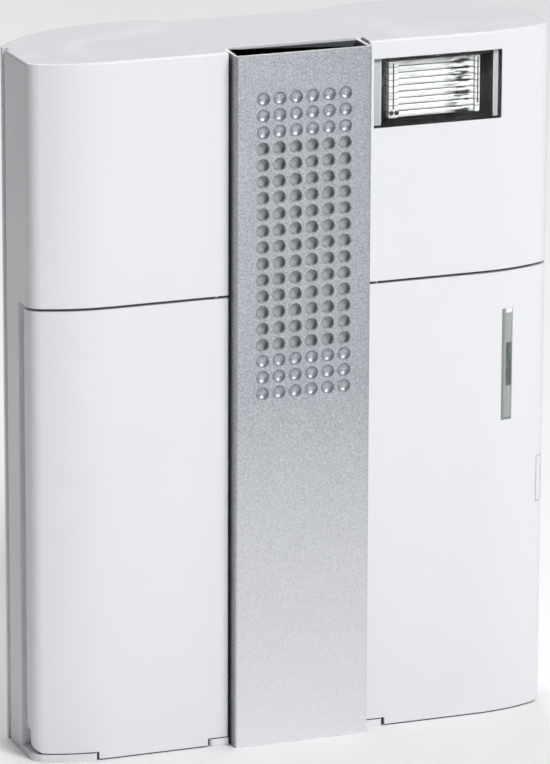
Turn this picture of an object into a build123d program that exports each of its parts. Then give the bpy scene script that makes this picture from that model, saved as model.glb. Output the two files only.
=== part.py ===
from build123d import *
import os

os.makedirs("parts", exist_ok=True)

# Wall-hung doorbell chime box with a flash lamp, in millimetres.
# The front faces -Y and +Z is up. The origin is the middle of the bottom of the box,
# so the wall lands and the face of the grille strip are equally far from it.

# Overall depths and heights that stand alone; width and height follow from what the box holds
window_room = 17.3
corner_depth = 15.4
rear_depth = 19.9
strip_proud = 3.5
side_draft = 0.35
wall = 2.0
floor_thickness = 1.9
cover_edge_round = 0.6
overrun = 5.0
seat_gap = 0.3

# Curved front in plan: flat middle, long cheek, tight knee, and a last drop to the corner
cheek_run = 17.5
knee_run = 2.5
knee_drop = 3.6
corner_drop = 2.8

# Rear plan: shallow valley between two lobes, each with a narrow flat land for the wall
valley_half_width = 17.5
valley_depth = 16.2
valley_slope = 12.5
land_width = 7.0
rear_side_length = 3.2
shadow_groove_width = 2.0
shadow_groove_depth = 1.2

# Channel down the middle of the front for the grille strip
strip_half_width = 18.1
strip_side_gap = 0.6
channel_depth = 5.2
channel_wall = 1.2
channel_floor = 1.6

# Split between the fixed upper front and the two doors below it
split_gap = 0.7
partition_thickness = 1.6
partition_depth = 16.0

# Doors wrap the front corners and leave a finger groove in each side wall
door_thickness = 2.0
door_gap = 0.3
door_side_depth = 2.5
groove_rear_depth = 8.8
frame_thickness = 1.2
frame_setback = 1.0
door_corner_radius = 3.0
door_edge_round = 0.6
door_bottom_z = 0.3
corner_lip_length = 15.7
corner_notch = 0.6
latch_notch_height = 8.0

# Vertical door hinges beside the strip
hinge_edge_offset = 2.9
hinge_setback = 1.7
hinge_pin_radius = 0.8
hinge_running = 0.05
pin_seat = 0.02
hinge_pin_grip = 6.0
hinge_pin_reach = 2.4
hinge_knuckle_radius = 1.6
hinge_sweep_radius = 3.4
hinge_lug_radius = 2.3
hinge_lug_gap = 0.4
hinge_block_height = 4.0

# Inward catch tabs on the outer edge of each door
catch_height = 8.0
catch_thickness = 1.0
catch_reach = 7.4
catch_side_gap = 0.8
catch_low_z = 30.0
catch_high_z = 92.0

# Keyholes in the rear lands
keyhole_drop = 24.3
keyhole_head_radius = 4.2
keyhole_slot_radius = 2.2
keyhole_rise = 8.0

# Case screws, driven from the back; small fasteners and their bosses are many-sided
boss_sides = 12
screw_sides = 8
screw_shank_radius = 1.5
screw_head_radius = 2.8
screw_head_height = 2.0
screw_seat_depth = 4.0
screw_reach = 8.0
screw_clearance = 0.15
pilot_clearance = 0.05
head_clearance = 0.4
boss_wall = 1.7
recess_width = 0.9
recess_depth = 1.0
upper_screw_offset = 24.1
upper_screw_drop = 11.75
lower_screw_x = 12.0
lower_screw_z = 10.0

# Grille strip
strip_face = 1.2
strip_flange = 1.0
strip_edge = 1.2
strip_top_gap = 0.5
strip_foot_round = 0.6
hole_radius = 1.6
hole_sides = 12
hole_pitch_x = 4.39
hole_pitch_z = 4.24
hole_columns = 6
hole_rows = 13
hole_end_margin = 8.0
dimple_sides = 8
dimple_depth = 0.5
strip_tab_width = 6.0
strip_tab_length = 3.2
strip_tab_thickness = 1.0
strip_tab_gap = 0.2
strip_tab_low_z = 30.0
strip_tab_high_z = 85.0
cloth_thickness = 0.5
cloth_margin = 1.0

# Loudspeaker behind the grille, and the square frame that holds it
speaker_lap = 9.9
speaker_radius = 22.5
speaker_depth = 15.6
speaker_flange = 1.0
speaker_flange_width = 2.4
speaker_sheet = 0.8
gasket_thickness = 0.6
speaker_throat_radius = 11.0
speaker_basket_depth = 9.0
magnet_radius = 12.5
speaker_sides = 24
cone_thickness = 0.5
surround_width = 2.8
surround_height = 1.0
surround_crest = 0.8
dust_cap_radius = 6.0
dust_cap_height = 2.2
sound_port_half_width = 14.0
sound_port_height = 52.0
sound_port_corner = 3.0
retainer_thickness = 1.2
speaker_screw_margin = 3.0
speaker_screw_offset = 3.2
low_screw_side_share = 0.506
low_screw_drop_share = 0.86
speaker_seat_margin = 1.1
speaker_screw_boss = 2.6
speaker_screw_radius = 1.2
speaker_screw_head = 2.4
speaker_screw_head_height = 1.2
speaker_screw_gap = 0.3

# Flash lamp window
window_inset = 0.2
window_drop = 13.7
window_width = 34.6
window_height = 17.7
window_clearance = 0.1
window_plate = 1.2
window_wall = 1.1
window_skirt = 8.0
window_flange = 1.3
window_flange_thickness = 0.9

# Lens, reflector, tube and bracket of the flash lamp
lens_width = 24.5
lens_height = 14.5
lens_setback = 2.6
lens_plate = 1.0
lens_ribs = 9
lens_bar_left = 2.8
lens_bar_right = 1.6
lens_bar_height = 0.9
reflector_sheet = 0.5
reflector_depth = 7.0
reflector_mouth = 12.6
tube_radius = 1.5
tube_overhang = 2.6
tube_clearance = 0.1
tube_standoff = 1.2
electrode_radius = 1.7
bracket_wall = 1.2
bracket_clearance = 0.2
bracket_depth = 13.0
bracket_corner = 0.6

# Battery tray with six cells
cell_radius = 7.1
cell_body = 49.0
cell_nub = 1.3
cell_nub_radius = 2.7
cell_nub_sides = 12
cell_sides = 20
cell_gap = 0.4
cell_end_gap = 0.1
cell_columns = 3
cell_rows = 2
cell_door_gap = 1.0
tray_wall = 0.9
tray_floor = 1.2
tray_rim_depth = 8.2
tray_base_z = 5.0
tray_head_gap = 4.9
tray_rib = 0.6
tray_rib_height = 3.0
contact_sheet = 0.5
contact_width = 9.0
leaf_height = 6.4
leaf_width = 5.0

# Control bay behind the right door; the rows of controls are shares of the panel's height
control_row_shares = (0.795, 0.557, 0.393, 0.192)
control_inset = 13.8
panel_thickness = 1.5
board_thickness = 1.6
control_board_margin = 1.0
knob_radius = 8.0
knob_height = 4.0
knob_flutes = 12
knob_flute_size = 1.6
knob_flute_sides = 4
knob_mark_width = 1.0
knob_mark_depth = 0.5
knob_panel_gap = 0.2
shaft_radius = 3.0
shaft_running = 0.05
pot_width = 12.0
pot_depth = 3.5
pot_gap = 0.8
button_radius = 4.0
button_gap = 0.15
button_proud = 2.0
button_edge = 0.5
button_collar = 1.0
button_collar_sides = 12
button_collar_thickness = 0.8
button_travel = 0.8
button_switch_gap = 0.1
switch_body_width = 6.0
slider_width = 5.0
slider_length = 7.0
slider_travel = 2.0
slider_gap = 0.2
slider_proud = 2.0
slider_foot = 1.2
slider_foot_thickness = 1.0
led_radius = 2.5
led_tip = 1.4
led_flange = 0.5
led_flange_sides = 12
led_flange_thickness = 1.0
led_proud = 2.0

# Light bar in the right door
bar_inset = 12.5
bar_drop = 25.2
bar_width = 3.0
bar_height = 29.6
bar_clearance = 0.05
bar_flange = 1.2
bar_flange_thickness = 0.8
bar_core_height = 11.8
bar_core_depth = 1.4

# Release key flush in the corner of the right door
key_inset = 1.65
key_z = 61.5
key_width = 1.9
key_height = 12.2
key_clearance = 0.1
key_travel = 0.8
key_foot_width = 0.9
key_foot_thickness = 0.8

# Main board and what it carries
main_board_gap = 4.4
main_board_side = 4.1
main_board_outer = 3.5
main_board_bottom = 20.0
main_board_head = 7.0
post_width = 5.2
post_inset = 4.0
board_screw_radius = 1.1
board_screw_head = 2.3
board_screw_head_height = 1.3
board_screw_length = 6.0
component_sides = 12
capacitor_radius = 6.5
capacitor_length = 20.0
capacitor_offset = 12.0
capacitor_rise = 60.0
coil_radius = 4.0
coil_length = 9.0
coil_rise = 86.0
coil_flange = 1.0
coil_flange_thickness = 1.0
chip_size = 9.0
chip_thickness = 1.6
chip_offset = 19.0
chip_low_rise = 32.0
chip_high_rise = 54.0
radio_width = 16.0
radio_height = 20.0
radio_thickness = 3.0
radio_rise = 78.0
antenna_width = 1.2
antenna_drop = 1.6
antenna_offset = 6.0
antenna_rise = 12.0
antenna_run = 60.0

# Widths: strip and channel, then a bay that takes the cells, its frame and the door's wall
channel_half_width = strip_half_width + strip_side_gap
channel_outer_x = channel_half_width + channel_wall
cell_length = cell_body + cell_nub + cell_end_gap
cell_pitch = 2 * cell_radius + cell_gap
tray_width = cell_columns * cell_pitch + cell_gap + 2 * tray_wall
door_inset = door_thickness + door_gap
frame_inner_x = channel_outer_x + tray_width + 2 * seat_gap
frame_outer_x = frame_inner_x + frame_thickness
bay_middle_x = (channel_outer_x + frame_inner_x) / 2
cover_width = 2 * (frame_outer_x + door_inset)
seam_width = cover_width + 2 * side_draft
knee_x = cover_width / 2 - knee_run
flat_half_width = knee_x - cheek_run
land_inner_x = valley_half_width + valley_slope
land_outer_x = land_inner_x + land_width
land_x = (land_inner_x + land_outer_x) / 2
corner_lip_x = cover_width / 2 - corner_lip_length
hinge_x = channel_half_width + hinge_edge_offset

# Depths
front_depth = corner_depth + knee_drop + corner_drop
overall_depth = strip_proud + front_depth + rear_depth
back_y = overall_depth / 2
seam_y = back_y - rear_depth
front_y = seam_y - front_depth
strip_front_y = front_y - strip_proud
corner_y = seam_y - corner_depth
cover_back_y = front_y + wall
channel_floor_y = front_y + channel_depth
channel_back_y = channel_floor_y + channel_floor
door_edge_y = corner_y + door_side_depth
groove_y = seam_y - groove_rear_depth
frame_front_y = door_edge_y - frame_setback
frame_rear_y = groove_y + partition_thickness
key_rear_y = frame_front_y - key_travel - seat_gap
hinge_y = front_y + hinge_setback
tray_front_y = front_y + tray_rim_depth
cell_y = front_y + door_thickness + cell_door_gap + cell_radius
tray_floor_y = cell_y + cell_radius
tray_back_y = tray_floor_y + tray_floor
panel_front_y = tray_front_y
panel_back_y = panel_front_y + panel_thickness
control_board_y = panel_back_y + pot_gap + pot_depth
main_board_y = tray_back_y + main_board_gap

# Heights: the bay that takes the cells, then the upper front
tray_height = cell_rows * cell_length + contact_sheet + leaf_height + 2 * tray_wall
tray_top_z = tray_base_z + tray_height
split_z = tray_top_z + tray_head_gap
door_top_z = split_z - split_gap / 2
ledge_z = split_z + split_gap / 2
speaker_seat_half = speaker_radius + seat_gap
upper_height = 2 * speaker_seat_half + window_room
box_height = split_z + upper_height
keyhole_z = box_height - keyhole_drop
window_z = box_height - window_drop
window_low = window_z - window_height / 2
window_high = window_z + window_height / 2
upper_screw_z = window_low - upper_screw_drop
hole_centre_z = split_z + speaker_seat_half - speaker_lap
strip_top_z = box_height - strip_top_gap
knob_z, melody_z, learn_z, slider_z = [tray_base_z + share * tray_height for share in control_row_shares]
control_x = bay_middle_x - tray_width / 2 + control_inset
bar_x = cover_width / 2 - bar_inset
bar_z = split_z - bar_drop
key_x = cover_width / 2 - key_inset
window_left = channel_outer_x + window_inset
window_right = window_left + window_width
window_x = (window_left + window_right) / 2

# Places of the case screws and of the main board's posts
upper_screw_x = channel_outer_x + upper_screw_offset
case_screw_places = [
    (-upper_screw_x, upper_screw_z),
    (upper_screw_x, upper_screw_z),
    (-lower_screw_x, lower_screw_z),
    (lower_screw_x, lower_screw_z),
]
main_board_left = channel_outer_x + main_board_side
main_board_right = frame_inner_x - main_board_outer
main_board_top = upper_screw_z - main_board_head
board_post_places = [
    (main_board_left + post_inset, main_board_bottom + post_inset),
    (main_board_right - post_inset, main_board_bottom + post_inset),
    (main_board_left + post_inset, main_board_top - post_inset),
    (main_board_right - post_inset, main_board_top - post_inset),
]
speaker_screw_reach = speaker_radius - speaker_screw_margin
speaker_screw_circle = speaker_radius + speaker_screw_offset
speaker_low_screw_x = low_screw_side_share * speaker_screw_circle
speaker_low_screw_z = hole_centre_z - low_screw_drop_share * speaker_screw_circle
speaker_seat_foot = channel_outer_x + hole_centre_z - tray_top_z - speaker_seat_half - speaker_seat_margin
speaker_screw_places = [
    (-speaker_screw_reach, hole_centre_z + speaker_screw_reach),
    (speaker_screw_reach, hole_centre_z + speaker_screw_reach),
    (-speaker_low_screw_x, speaker_low_screw_z),
    (speaker_low_screw_x, speaker_low_screw_z),
]


def wall_plane(y):
    """Upright plane at the given depth, drawn in X and Z and facing the front."""
    return Plane.XZ.offset(-y)


def block(x_span, y_span, z_span, mode=Mode.ADD):
    """Box between three pairs of limits, in the part being built."""
    x_low, x_high = sorted(x_span)
    y_low, y_high = sorted(y_span)
    z_low, z_high = sorted(z_span)
    with Locations((x_low, y_low, z_low)):
        Box(x_high - x_low, y_high - y_low, z_high - z_low, align=(Align.MIN,) * 3, mode=mode)


def speaker_disc(radius, start, end, mode=Mode.ADD):
    """Many-sided disc about the loudspeaker's axis, between two depths behind the channel floor."""
    with BuildSketch(wall_plane(channel_back_y + start)) as disc:
        with Locations((0, hole_centre_z)):
            RegularPolygon(radius, speaker_sides, major_radius=False)
    extrude(disc.sketch, amount=start - end, mode=mode)


def speaker_seat():
    """Seat of the loudspeaker in the sketch being built: cut lower corners, and ears for its screws."""
    half = speaker_seat_half
    foot = speaker_seat_foot
    with Locations((0, hole_centre_z)):
        Polygon((-half, half), (-half, -foot), (-foot, -half), (foot, -half), (half, -foot), (half, half), align=None)
    with Locations(*speaker_screw_places):
        RegularPolygon(speaker_screw_boss, boss_sides)


def front_plan(inset):
    """Plan of the front cover between seam and front face, shrunk by an inset."""
    corner = (cover_width / 2, corner_y)
    spread = (seam_width - cover_width) / 2 / corner_depth
    edge_y = seam_y + inset
    edge_x = corner[0] + spread * (edge_y - corner_y)
    with BuildSketch() as plan:
        with BuildLine():
            flat = Line((0, front_y), (flat_half_width, front_y))
            cheek = TangentArc(flat @ 1, (knee_x, front_y + knee_drop), tangent=flat % 1)
            TangentArc(cheek @ 1, corner, tangent=cheek % 1)
            Line(corner, (edge_x, edge_y))
            Line((edge_x, edge_y), (0, edge_y))
            Line((0, edge_y), (0, front_y))
        make_face()
        mirror(about=Plane.YZ)
        if inset > 0:
            offset(amount=-inset, kind=Kind.INTERSECTION)
    return plan.sketch


def rear_plan(inset):
    """Plan of the back shell with its valley and two lobes, shrunk by an inset."""
    valley_y = seam_y + valley_depth
    edge_y = seam_y - inset
    edge_x = seam_width / 2
    middle = ((land_inner_x + valley_half_width) / 2, (back_y + valley_y) / 2)
    with BuildSketch() as plan:
        with BuildLine():
            Line((edge_x, edge_y), (edge_x, seam_y + rear_side_length))
            TangentArc((land_outer_x, back_y), (edge_x, seam_y + rear_side_length), tangent=(1, 0))
            Line((land_outer_x, back_y), (land_inner_x, back_y))
            shoulder = TangentArc((land_inner_x, back_y), middle, tangent=(-1, 0))
            TangentArc(middle, (valley_half_width, valley_y), tangent=shoulder % 1)
            Line((valley_half_width, valley_y), (0, valley_y))
            Line((0, valley_y), (0, edge_y))
            Line((0, edge_y), (edge_x, edge_y))
        make_face()
        mirror(about=Plane.YZ)
        if inset > 0:
            offset(amount=-inset, kind=Kind.INTERSECTION)
    return plan.sketch


cover_outer = front_plan(0)
cover_inner = front_plan(wall)
door_inner = front_plan(door_thickness)
pocket_inner = front_plan(door_inset)
shell_outer = rear_plan(0)
shell_inner = rear_plan(wall)


# Back shell: two-lobed tray with wall fixings, screw bosses and board posts
with BuildPart() as back_shell:
    with BuildSketch():
        add(shell_outer)
    extrude(amount=box_height)
    with BuildSketch(Plane.XY.offset(floor_thickness)):
        add(shell_inner)
    extrude(amount=box_height - floor_thickness - wall, mode=Mode.SUBTRACT)
    with BuildSketch(wall_plane(back_y)):
        with Locations(*case_screw_places):
            RegularPolygon(screw_head_radius + head_clearance + boss_wall, boss_sides)
    extrude(amount=back_y - seam_y)
    with BuildSketch(wall_plane(back_y)):
        with Locations(*board_post_places):
            Rectangle(post_width, post_width)
    extrude(amount=back_y - main_board_y - board_thickness)
    with BuildSketch():
        add(shell_outer)
    extrude(amount=box_height, mode=Mode.INTERSECT)
    with BuildSketch(wall_plane(back_y)):
        with Locations(*case_screw_places):
            RegularPolygon(screw_head_radius + head_clearance, boss_sides, major_radius=False)
    extrude(amount=back_y - seam_y - screw_seat_depth, mode=Mode.SUBTRACT)
    with BuildSketch(wall_plane(back_y)):
        with Locations(*case_screw_places):
            RegularPolygon(screw_shank_radius + screw_clearance, screw_sides, major_radius=False)
    extrude(amount=back_y - seam_y, mode=Mode.SUBTRACT)
    with BuildSketch(wall_plane(main_board_y)):
        with Locations(*board_post_places):
            RegularPolygon(board_screw_radius + pilot_clearance, screw_sides, major_radius=False)
    extrude(amount=-board_screw_length, mode=Mode.SUBTRACT)
    with BuildSketch(wall_plane(back_y)):
        for side in (-1, 1):
            with Locations((side * land_x, keyhole_z)):
                Circle(keyhole_head_radius)
            with Locations((side * land_x, keyhole_z + keyhole_rise / 2)):
                SlotCenterToCenter(keyhole_rise, 2 * keyhole_slot_radius, rotation=90)
    extrude(amount=wall + overrun, mode=Mode.SUBTRACT)
    for side in (-1, 1):
        block(
            (side * (seam_width / 2 - shadow_groove_depth), side * (seam_width / 2 + overrun)),
            (seam_y, seam_y + shadow_groove_width),
            (0, box_height),
            Mode.SUBTRACT,
        )
back_shell.part.label = "back_shell"
export_step(back_shell.part, "parts/back_shell.step")

retainer_seat_y = channel_back_y + gasket_thickness + speaker_flange

# Front cover: side walls, upper front, strip channel and the frames of the two bays
with BuildPart() as front_cover:
    with BuildSketch():
        add(cover_outer)
    extrude(amount=box_height)
    top_rim = front_cover.edges().group_by(Axis.Z)[-1].filter_by(lambda rim: rim.center().Y < seam_y - wall)
    fillet(top_rim, radius=cover_edge_round)
    with BuildSketch(Plane.XY.offset(floor_thickness)):
        add(cover_inner)
    extrude(amount=box_height - floor_thickness - wall, mode=Mode.SUBTRACT)
    # pockets for the doors, with the finger grooves in the side walls
    with BuildSketch():
        add(cover_outer)
        add(pocket_inner, mode=Mode.SUBTRACT)
        with Locations((0, groove_y)):
            Rectangle(2 * seam_width, 2 * front_depth, align=(Align.CENTER, Align.MAX), mode=Mode.INTERSECT)
    extrude(amount=ledge_z, mode=Mode.SUBTRACT)
    # lip under the outer corner of the left door
    with BuildSketch():
        add(cover_outer)
        with Locations((-corner_lip_x, groove_y)):
            Rectangle(cover_width, 2 * front_depth, align=(Align.MAX, Align.MAX), mode=Mode.INTERSECT)
    extrude(amount=floor_thickness)
    # ledge between upper front and bays
    with BuildSketch(Plane.XY.offset(ledge_z)):
        add(cover_outer)
        with Locations((0, front_y + partition_depth)):
            Rectangle(2 * seam_width, 2 * front_depth, align=(Align.CENTER, Align.MAX), mode=Mode.INTERSECT)
        with Locations((0, channel_back_y)):
            Rectangle(
                2 * speaker_seat_half,
                2 * front_depth,
                align=(Align.CENTER, Align.MIN),
                mode=Mode.SUBTRACT,
            )
    extrude(amount=partition_thickness)
    # upright frames inside the finger grooves
    with BuildSketch():
        for side in (-1, 1):
            align_x = Align.MAX if side > 0 else Align.MIN
            with Locations((side * frame_outer_x, frame_rear_y)):
                Rectangle(frame_thickness, frame_rear_y - frame_front_y, align=(align_x, Align.MAX))
            with Locations((side * (cover_width - wall) / 2, groove_y)):
                Rectangle(
                    (cover_width - wall) / 2 - frame_inner_x,
                    partition_thickness,
                    align=(align_x, Align.MIN),
                )
        add(cover_outer, mode=Mode.INTERSECT)
        with Locations((0, front_y)):
            Rectangle(2 * frame_inner_x, door_inset, align=(Align.CENTER, Align.MIN), mode=Mode.SUBTRACT)
    extrude(amount=split_z)
    with BuildSketch():
        add(cover_outer)
        add(pocket_inner, mode=Mode.SUBTRACT)
        with Locations((0, groove_y)):
            Rectangle(2 * seam_width, 2 * front_depth, align=(Align.CENTER, Align.MAX), mode=Mode.INTERSECT)
        with Locations((-corner_lip_x, groove_y)):
            Rectangle(cover_width, 2 * front_depth, align=(Align.MAX, Align.MAX), mode=Mode.SUBTRACT)
    extrude(amount=ledge_z, mode=Mode.SUBTRACT)
    with BuildSketch(Plane.XY.offset(floor_thickness)):
        add(cover_outer)
        add(pocket_inner, mode=Mode.SUBTRACT)
        with Locations((0, groove_y)):
            Rectangle(2 * seam_width, 2 * front_depth, align=(Align.CENTER, Align.MAX), mode=Mode.INTERSECT)
    extrude(amount=ledge_z - floor_thickness, mode=Mode.SUBTRACT)
    # strip channel
    block(
        (-channel_half_width, channel_half_width),
        (strip_front_y, channel_floor_y),
        (0, box_height),
        Mode.SUBTRACT,
    )
    front_corners = front_cover.edges().filter_by(Axis.Z).group_by(Axis.Y)[0]
    fillet(front_corners.filter_by(lambda edge: abs(edge.center().X) < channel_outer_x), radius=cover_edge_round)
    block((-channel_outer_x, channel_outer_x), (channel_floor_y, channel_back_y), (0, box_height))
    for side in (-1, 1):
        walls_x = (side * channel_half_width, side * channel_outer_x)
        block(walls_x, (front_y + door_inset, channel_back_y), (0, box_height))
        block(walls_x, (front_y + wall / 2, channel_back_y), (ledge_z, box_height))
    # seat of the loudspeaker with a boss for each screw, and the sound port
    with BuildSketch(wall_plane(channel_floor_y)):
        speaker_seat()
    extrude(amount=channel_floor_y - channel_back_y)
    with BuildSketch(wall_plane(channel_floor_y)):
        with Locations(*speaker_screw_places):
            RegularPolygon(speaker_screw_boss, boss_sides)
    extrude(amount=channel_floor_y - retainer_seat_y)
    with BuildSketch(wall_plane(retainer_seat_y)):
        with Locations(*speaker_screw_places):
            RegularPolygon(speaker_screw_radius + pilot_clearance, screw_sides, major_radius=False)
    extrude(amount=retainer_seat_y - channel_floor_y, mode=Mode.SUBTRACT)
    with BuildSketch(wall_plane(channel_floor_y)):
        with Locations((0, hole_centre_z)):
            RectangleRounded(2 * sound_port_half_width, sound_port_height, sound_port_corner)
    extrude(amount=channel_floor_y - channel_back_y, mode=Mode.SUBTRACT)
    # slots for the hooks of the grille strip
    for z in (strip_tab_low_z, strip_tab_high_z):
        for side in (-1, 1):
            block(
                (
                    side * (strip_half_width + strip_tab_gap),
                    side * (strip_half_width - strip_tab_thickness - strip_tab_gap),
                ),
                (channel_floor_y, channel_back_y),
                (
                    z - strip_tab_width / 2 - strip_tab_gap,
                    z + strip_tab_width / 2 + strip_tab_gap,
                ),
                Mode.SUBTRACT,
            )
    # flash lamp opening
    block(
        (window_left - window_clearance, window_right + window_clearance),
        (front_y - overrun, front_y + wall + overrun),
        (window_low - window_clearance, window_high + window_clearance),
        Mode.SUBTRACT,
    )
    # screw bosses
    with BuildSketch(wall_plane(seam_y)):
        with Locations(*case_screw_places):
            RegularPolygon(screw_shank_radius + pilot_clearance + boss_wall, boss_sides)
    extrude(amount=front_depth - wall / 2)
    block(
        (-channel_half_width, channel_half_width),
        (strip_front_y, channel_floor_y),
        (0, box_height),
        Mode.SUBTRACT,
    )
    with BuildSketch(wall_plane(seam_y)):
        with Locations(*case_screw_places):
            RegularPolygon(screw_shank_radius + pilot_clearance, screw_sides, major_radius=False)
    extrude(amount=screw_reach + recess_depth, mode=Mode.SUBTRACT)
    # hinge clearance, lower lugs, upper blocks and pin holes
    for side in (-1, 1):
        hinge = (side * hinge_x, hinge_y)
        with BuildSketch(Plane.XY.offset(floor_thickness)):
            with Locations(hinge):
                RegularPolygon(hinge_sweep_radius, boss_sides, major_radius=False)
        extrude(amount=ledge_z - floor_thickness, mode=Mode.SUBTRACT)
        with BuildSketch():
            with Locations(hinge):
                RegularPolygon(hinge_lug_radius, boss_sides, major_radius=False)
                Rectangle(
                    hinge_edge_offset,
                    2 * hinge_setback,
                    align=(Align.MAX if side > 0 else Align.MIN, Align.CENTER),
                )
            with Locations((side * hinge_x, hinge_y)):
                Rectangle(
                    2 * hinge_lug_radius,
                    2 * hinge_lug_radius,
                    align=(Align.CENTER, Align.MIN),
                )
            add(cover_outer, mode=Mode.INTERSECT)
            with Locations((0, hinge_y)):
                Rectangle(
                    2 * channel_half_width,
                    2 * front_depth,
                    mode=Mode.SUBTRACT,
                )
        extrude(amount=floor_thickness)
        block(
            (side * (hinge_x - hinge_lug_radius), side * (hinge_x + hinge_lug_radius)),
            (front_y + wall / 2, hinge_y + hinge_lug_radius),
            (ledge_z, ledge_z + hinge_block_height),
        )
        with BuildSketch():
            with Locations(hinge):
                Circle(hinge_pin_radius + hinge_running)
        extrude(amount=floor_thickness, mode=Mode.SUBTRACT)
        with BuildSketch(Plane.XY.offset(ledge_z)):
            with Locations(hinge):
                Circle(hinge_pin_radius + hinge_running)
        extrude(amount=hinge_pin_reach + hinge_running, mode=Mode.SUBTRACT)
front_cover.part.label = "front_cover"
export_step(front_cover.part, "parts/front_cover.step")

# Grille strip: U-section with rounded edges, hooks, through holes and blind dimples
hole_low_z = hole_centre_z - (hole_rows - 1) / 2 * hole_pitch_z
hole_high_z = hole_centre_z + (hole_rows - 1) / 2 * hole_pitch_z
dimple_rows = int((strip_top_z - hole_end_margin - hole_high_z) // hole_pitch_z)
dimple_low_z = hole_low_z - (dimple_rows + 1) / 2 * hole_pitch_z
dimple_high_z = hole_high_z + (dimple_rows + 1) / 2 * hole_pitch_z
with BuildPart() as grille_strip:
    with BuildSketch() as strip_section:
        with Locations((0, strip_front_y)):
            Rectangle(
                2 * strip_half_width,
                channel_floor_y - strip_front_y,
                align=(Align.CENTER, Align.MIN),
            )
        fillet(strip_section.vertices().group_by(Axis.Y)[0], radius=strip_edge)
        with Locations((0, strip_front_y + strip_face)):
            Rectangle(
                2 * (strip_half_width - strip_flange),
                channel_floor_y - strip_front_y,
                align=(Align.CENTER, Align.MIN),
                mode=Mode.SUBTRACT,
            )
    extrude(amount=strip_top_z)
    foot_edges = grille_strip.edges().filter_by(Axis.X).group_by(Axis.Z)[0].group_by(Axis.Y)[0]
    fillet(foot_edges, radius=strip_foot_round)
    for z in (strip_tab_low_z, strip_tab_high_z):
        for side in (-1, 1):
            block(
                (side * strip_half_width, side * (strip_half_width - strip_tab_thickness)),
                (channel_floor_y, channel_floor_y + strip_tab_length),
                (z - strip_tab_width / 2, z + strip_tab_width / 2),
            )
    with BuildSketch(wall_plane(strip_front_y)):
        with Locations((0, hole_centre_z)):
            with GridLocations(hole_pitch_x, hole_pitch_z, hole_columns, hole_rows):
                RegularPolygon(hole_radius, hole_sides)
    extrude(amount=-strip_face, mode=Mode.SUBTRACT)
    with BuildSketch(wall_plane(strip_front_y)):
        with Locations((0, dimple_low_z), (0, dimple_high_z)):
            with GridLocations(hole_pitch_x, hole_pitch_z, hole_columns, dimple_rows):
                RegularPolygon(hole_radius, dimple_sides)
    extrude(amount=-dimple_depth, mode=Mode.SUBTRACT)
grille_strip.part.label = "grille_strip"
export_step(grille_strip.part, "parts/grille_strip.step")

# Acoustic cloth on the front of the channel floor, over the sound port
with BuildPart() as grille_cloth:
    with BuildSketch(wall_plane(channel_floor_y)):
        with Locations((0, hole_centre_z)):
            Rectangle(2 * (sound_port_half_width + cloth_margin), sound_port_height + 2 * cloth_margin)
    extrude(amount=cloth_thickness)
grille_cloth.part.label = "grille_cloth"
export_step(grille_cloth.part, "parts/grille_cloth.step")

# Loudspeaker, many-sided about its own axis from the gasket backwards
gasket_hole = speaker_radius - speaker_flange_width
with BuildPart() as speaker_gasket:
    speaker_disc(speaker_radius, 0, gasket_thickness)
    speaker_disc(gasket_hole, 0, gasket_thickness, Mode.SUBTRACT)
speaker_gasket.part.label = "speaker_gasket"
export_step(speaker_gasket.part, "parts/speaker_gasket.step")

# Pressed basket: a can whose rear tapers to the throat, hollowed from the front, and its flange
basket_rim = gasket_hole
basket_outer = basket_rim + speaker_sheet
basket_end = gasket_thickness + speaker_basket_depth
basket_step = gasket_thickness + surround_height + 2 * cone_thickness
with BuildPart() as speaker_basket:
    speaker_disc(basket_outer, gasket_thickness, basket_end)
    basket_floor = speaker_basket.faces().sort_by(Axis.Y)[-1]
    chamfer(
        basket_floor.edges(),
        length=basket_rim - speaker_throat_radius,
        length2=basket_end - basket_step,
        reference=basket_floor,
    )
    offset(amount=-speaker_sheet, openings=speaker_basket.faces().sort_by(Axis.Y)[0])
    speaker_disc(speaker_radius, gasket_thickness, gasket_thickness + speaker_flange)
    speaker_disc(basket_rim, gasket_thickness, gasket_thickness + speaker_flange, Mode.SUBTRACT)
speaker_basket.part.label = "speaker_basket"
export_step(speaker_basket.part, "parts/speaker_basket.step")

with BuildPart() as speaker_magnet:
    with BuildSketch(wall_plane(channel_back_y + basket_end)):
        with Locations((0, hole_centre_z)):
            RegularPolygon(magnet_radius, speaker_sides)
    extrude(amount=basket_end - speaker_depth)
speaker_magnet.part.label = "speaker_magnet"
export_step(speaker_magnet.part, "parts/speaker_magnet.step")

# Rubber surround: a raised roll with sloping sides, seated in the basket
surround_outer = basket_rim - seat_gap / 2
surround_inner = basket_rim - surround_width
surround_foot = gasket_thickness + surround_height
with BuildPart() as speaker_surround:
    speaker_disc(surround_outer, gasket_thickness, surround_foot + cone_thickness)
    speaker_disc(surround_inner, gasket_thickness, surround_foot + cone_thickness, Mode.SUBTRACT)
    surround_front = speaker_surround.faces().sort_by(Axis.Y)[0]
    chamfer(
        surround_front.edges(),
        length=(surround_outer - surround_inner - surround_crest) / 2,
        length2=surround_height,
        reference=surround_front,
    )
speaker_surround.part.label = "speaker_surround"
export_step(speaker_surround.part, "parts/speaker_surround.step")

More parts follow.
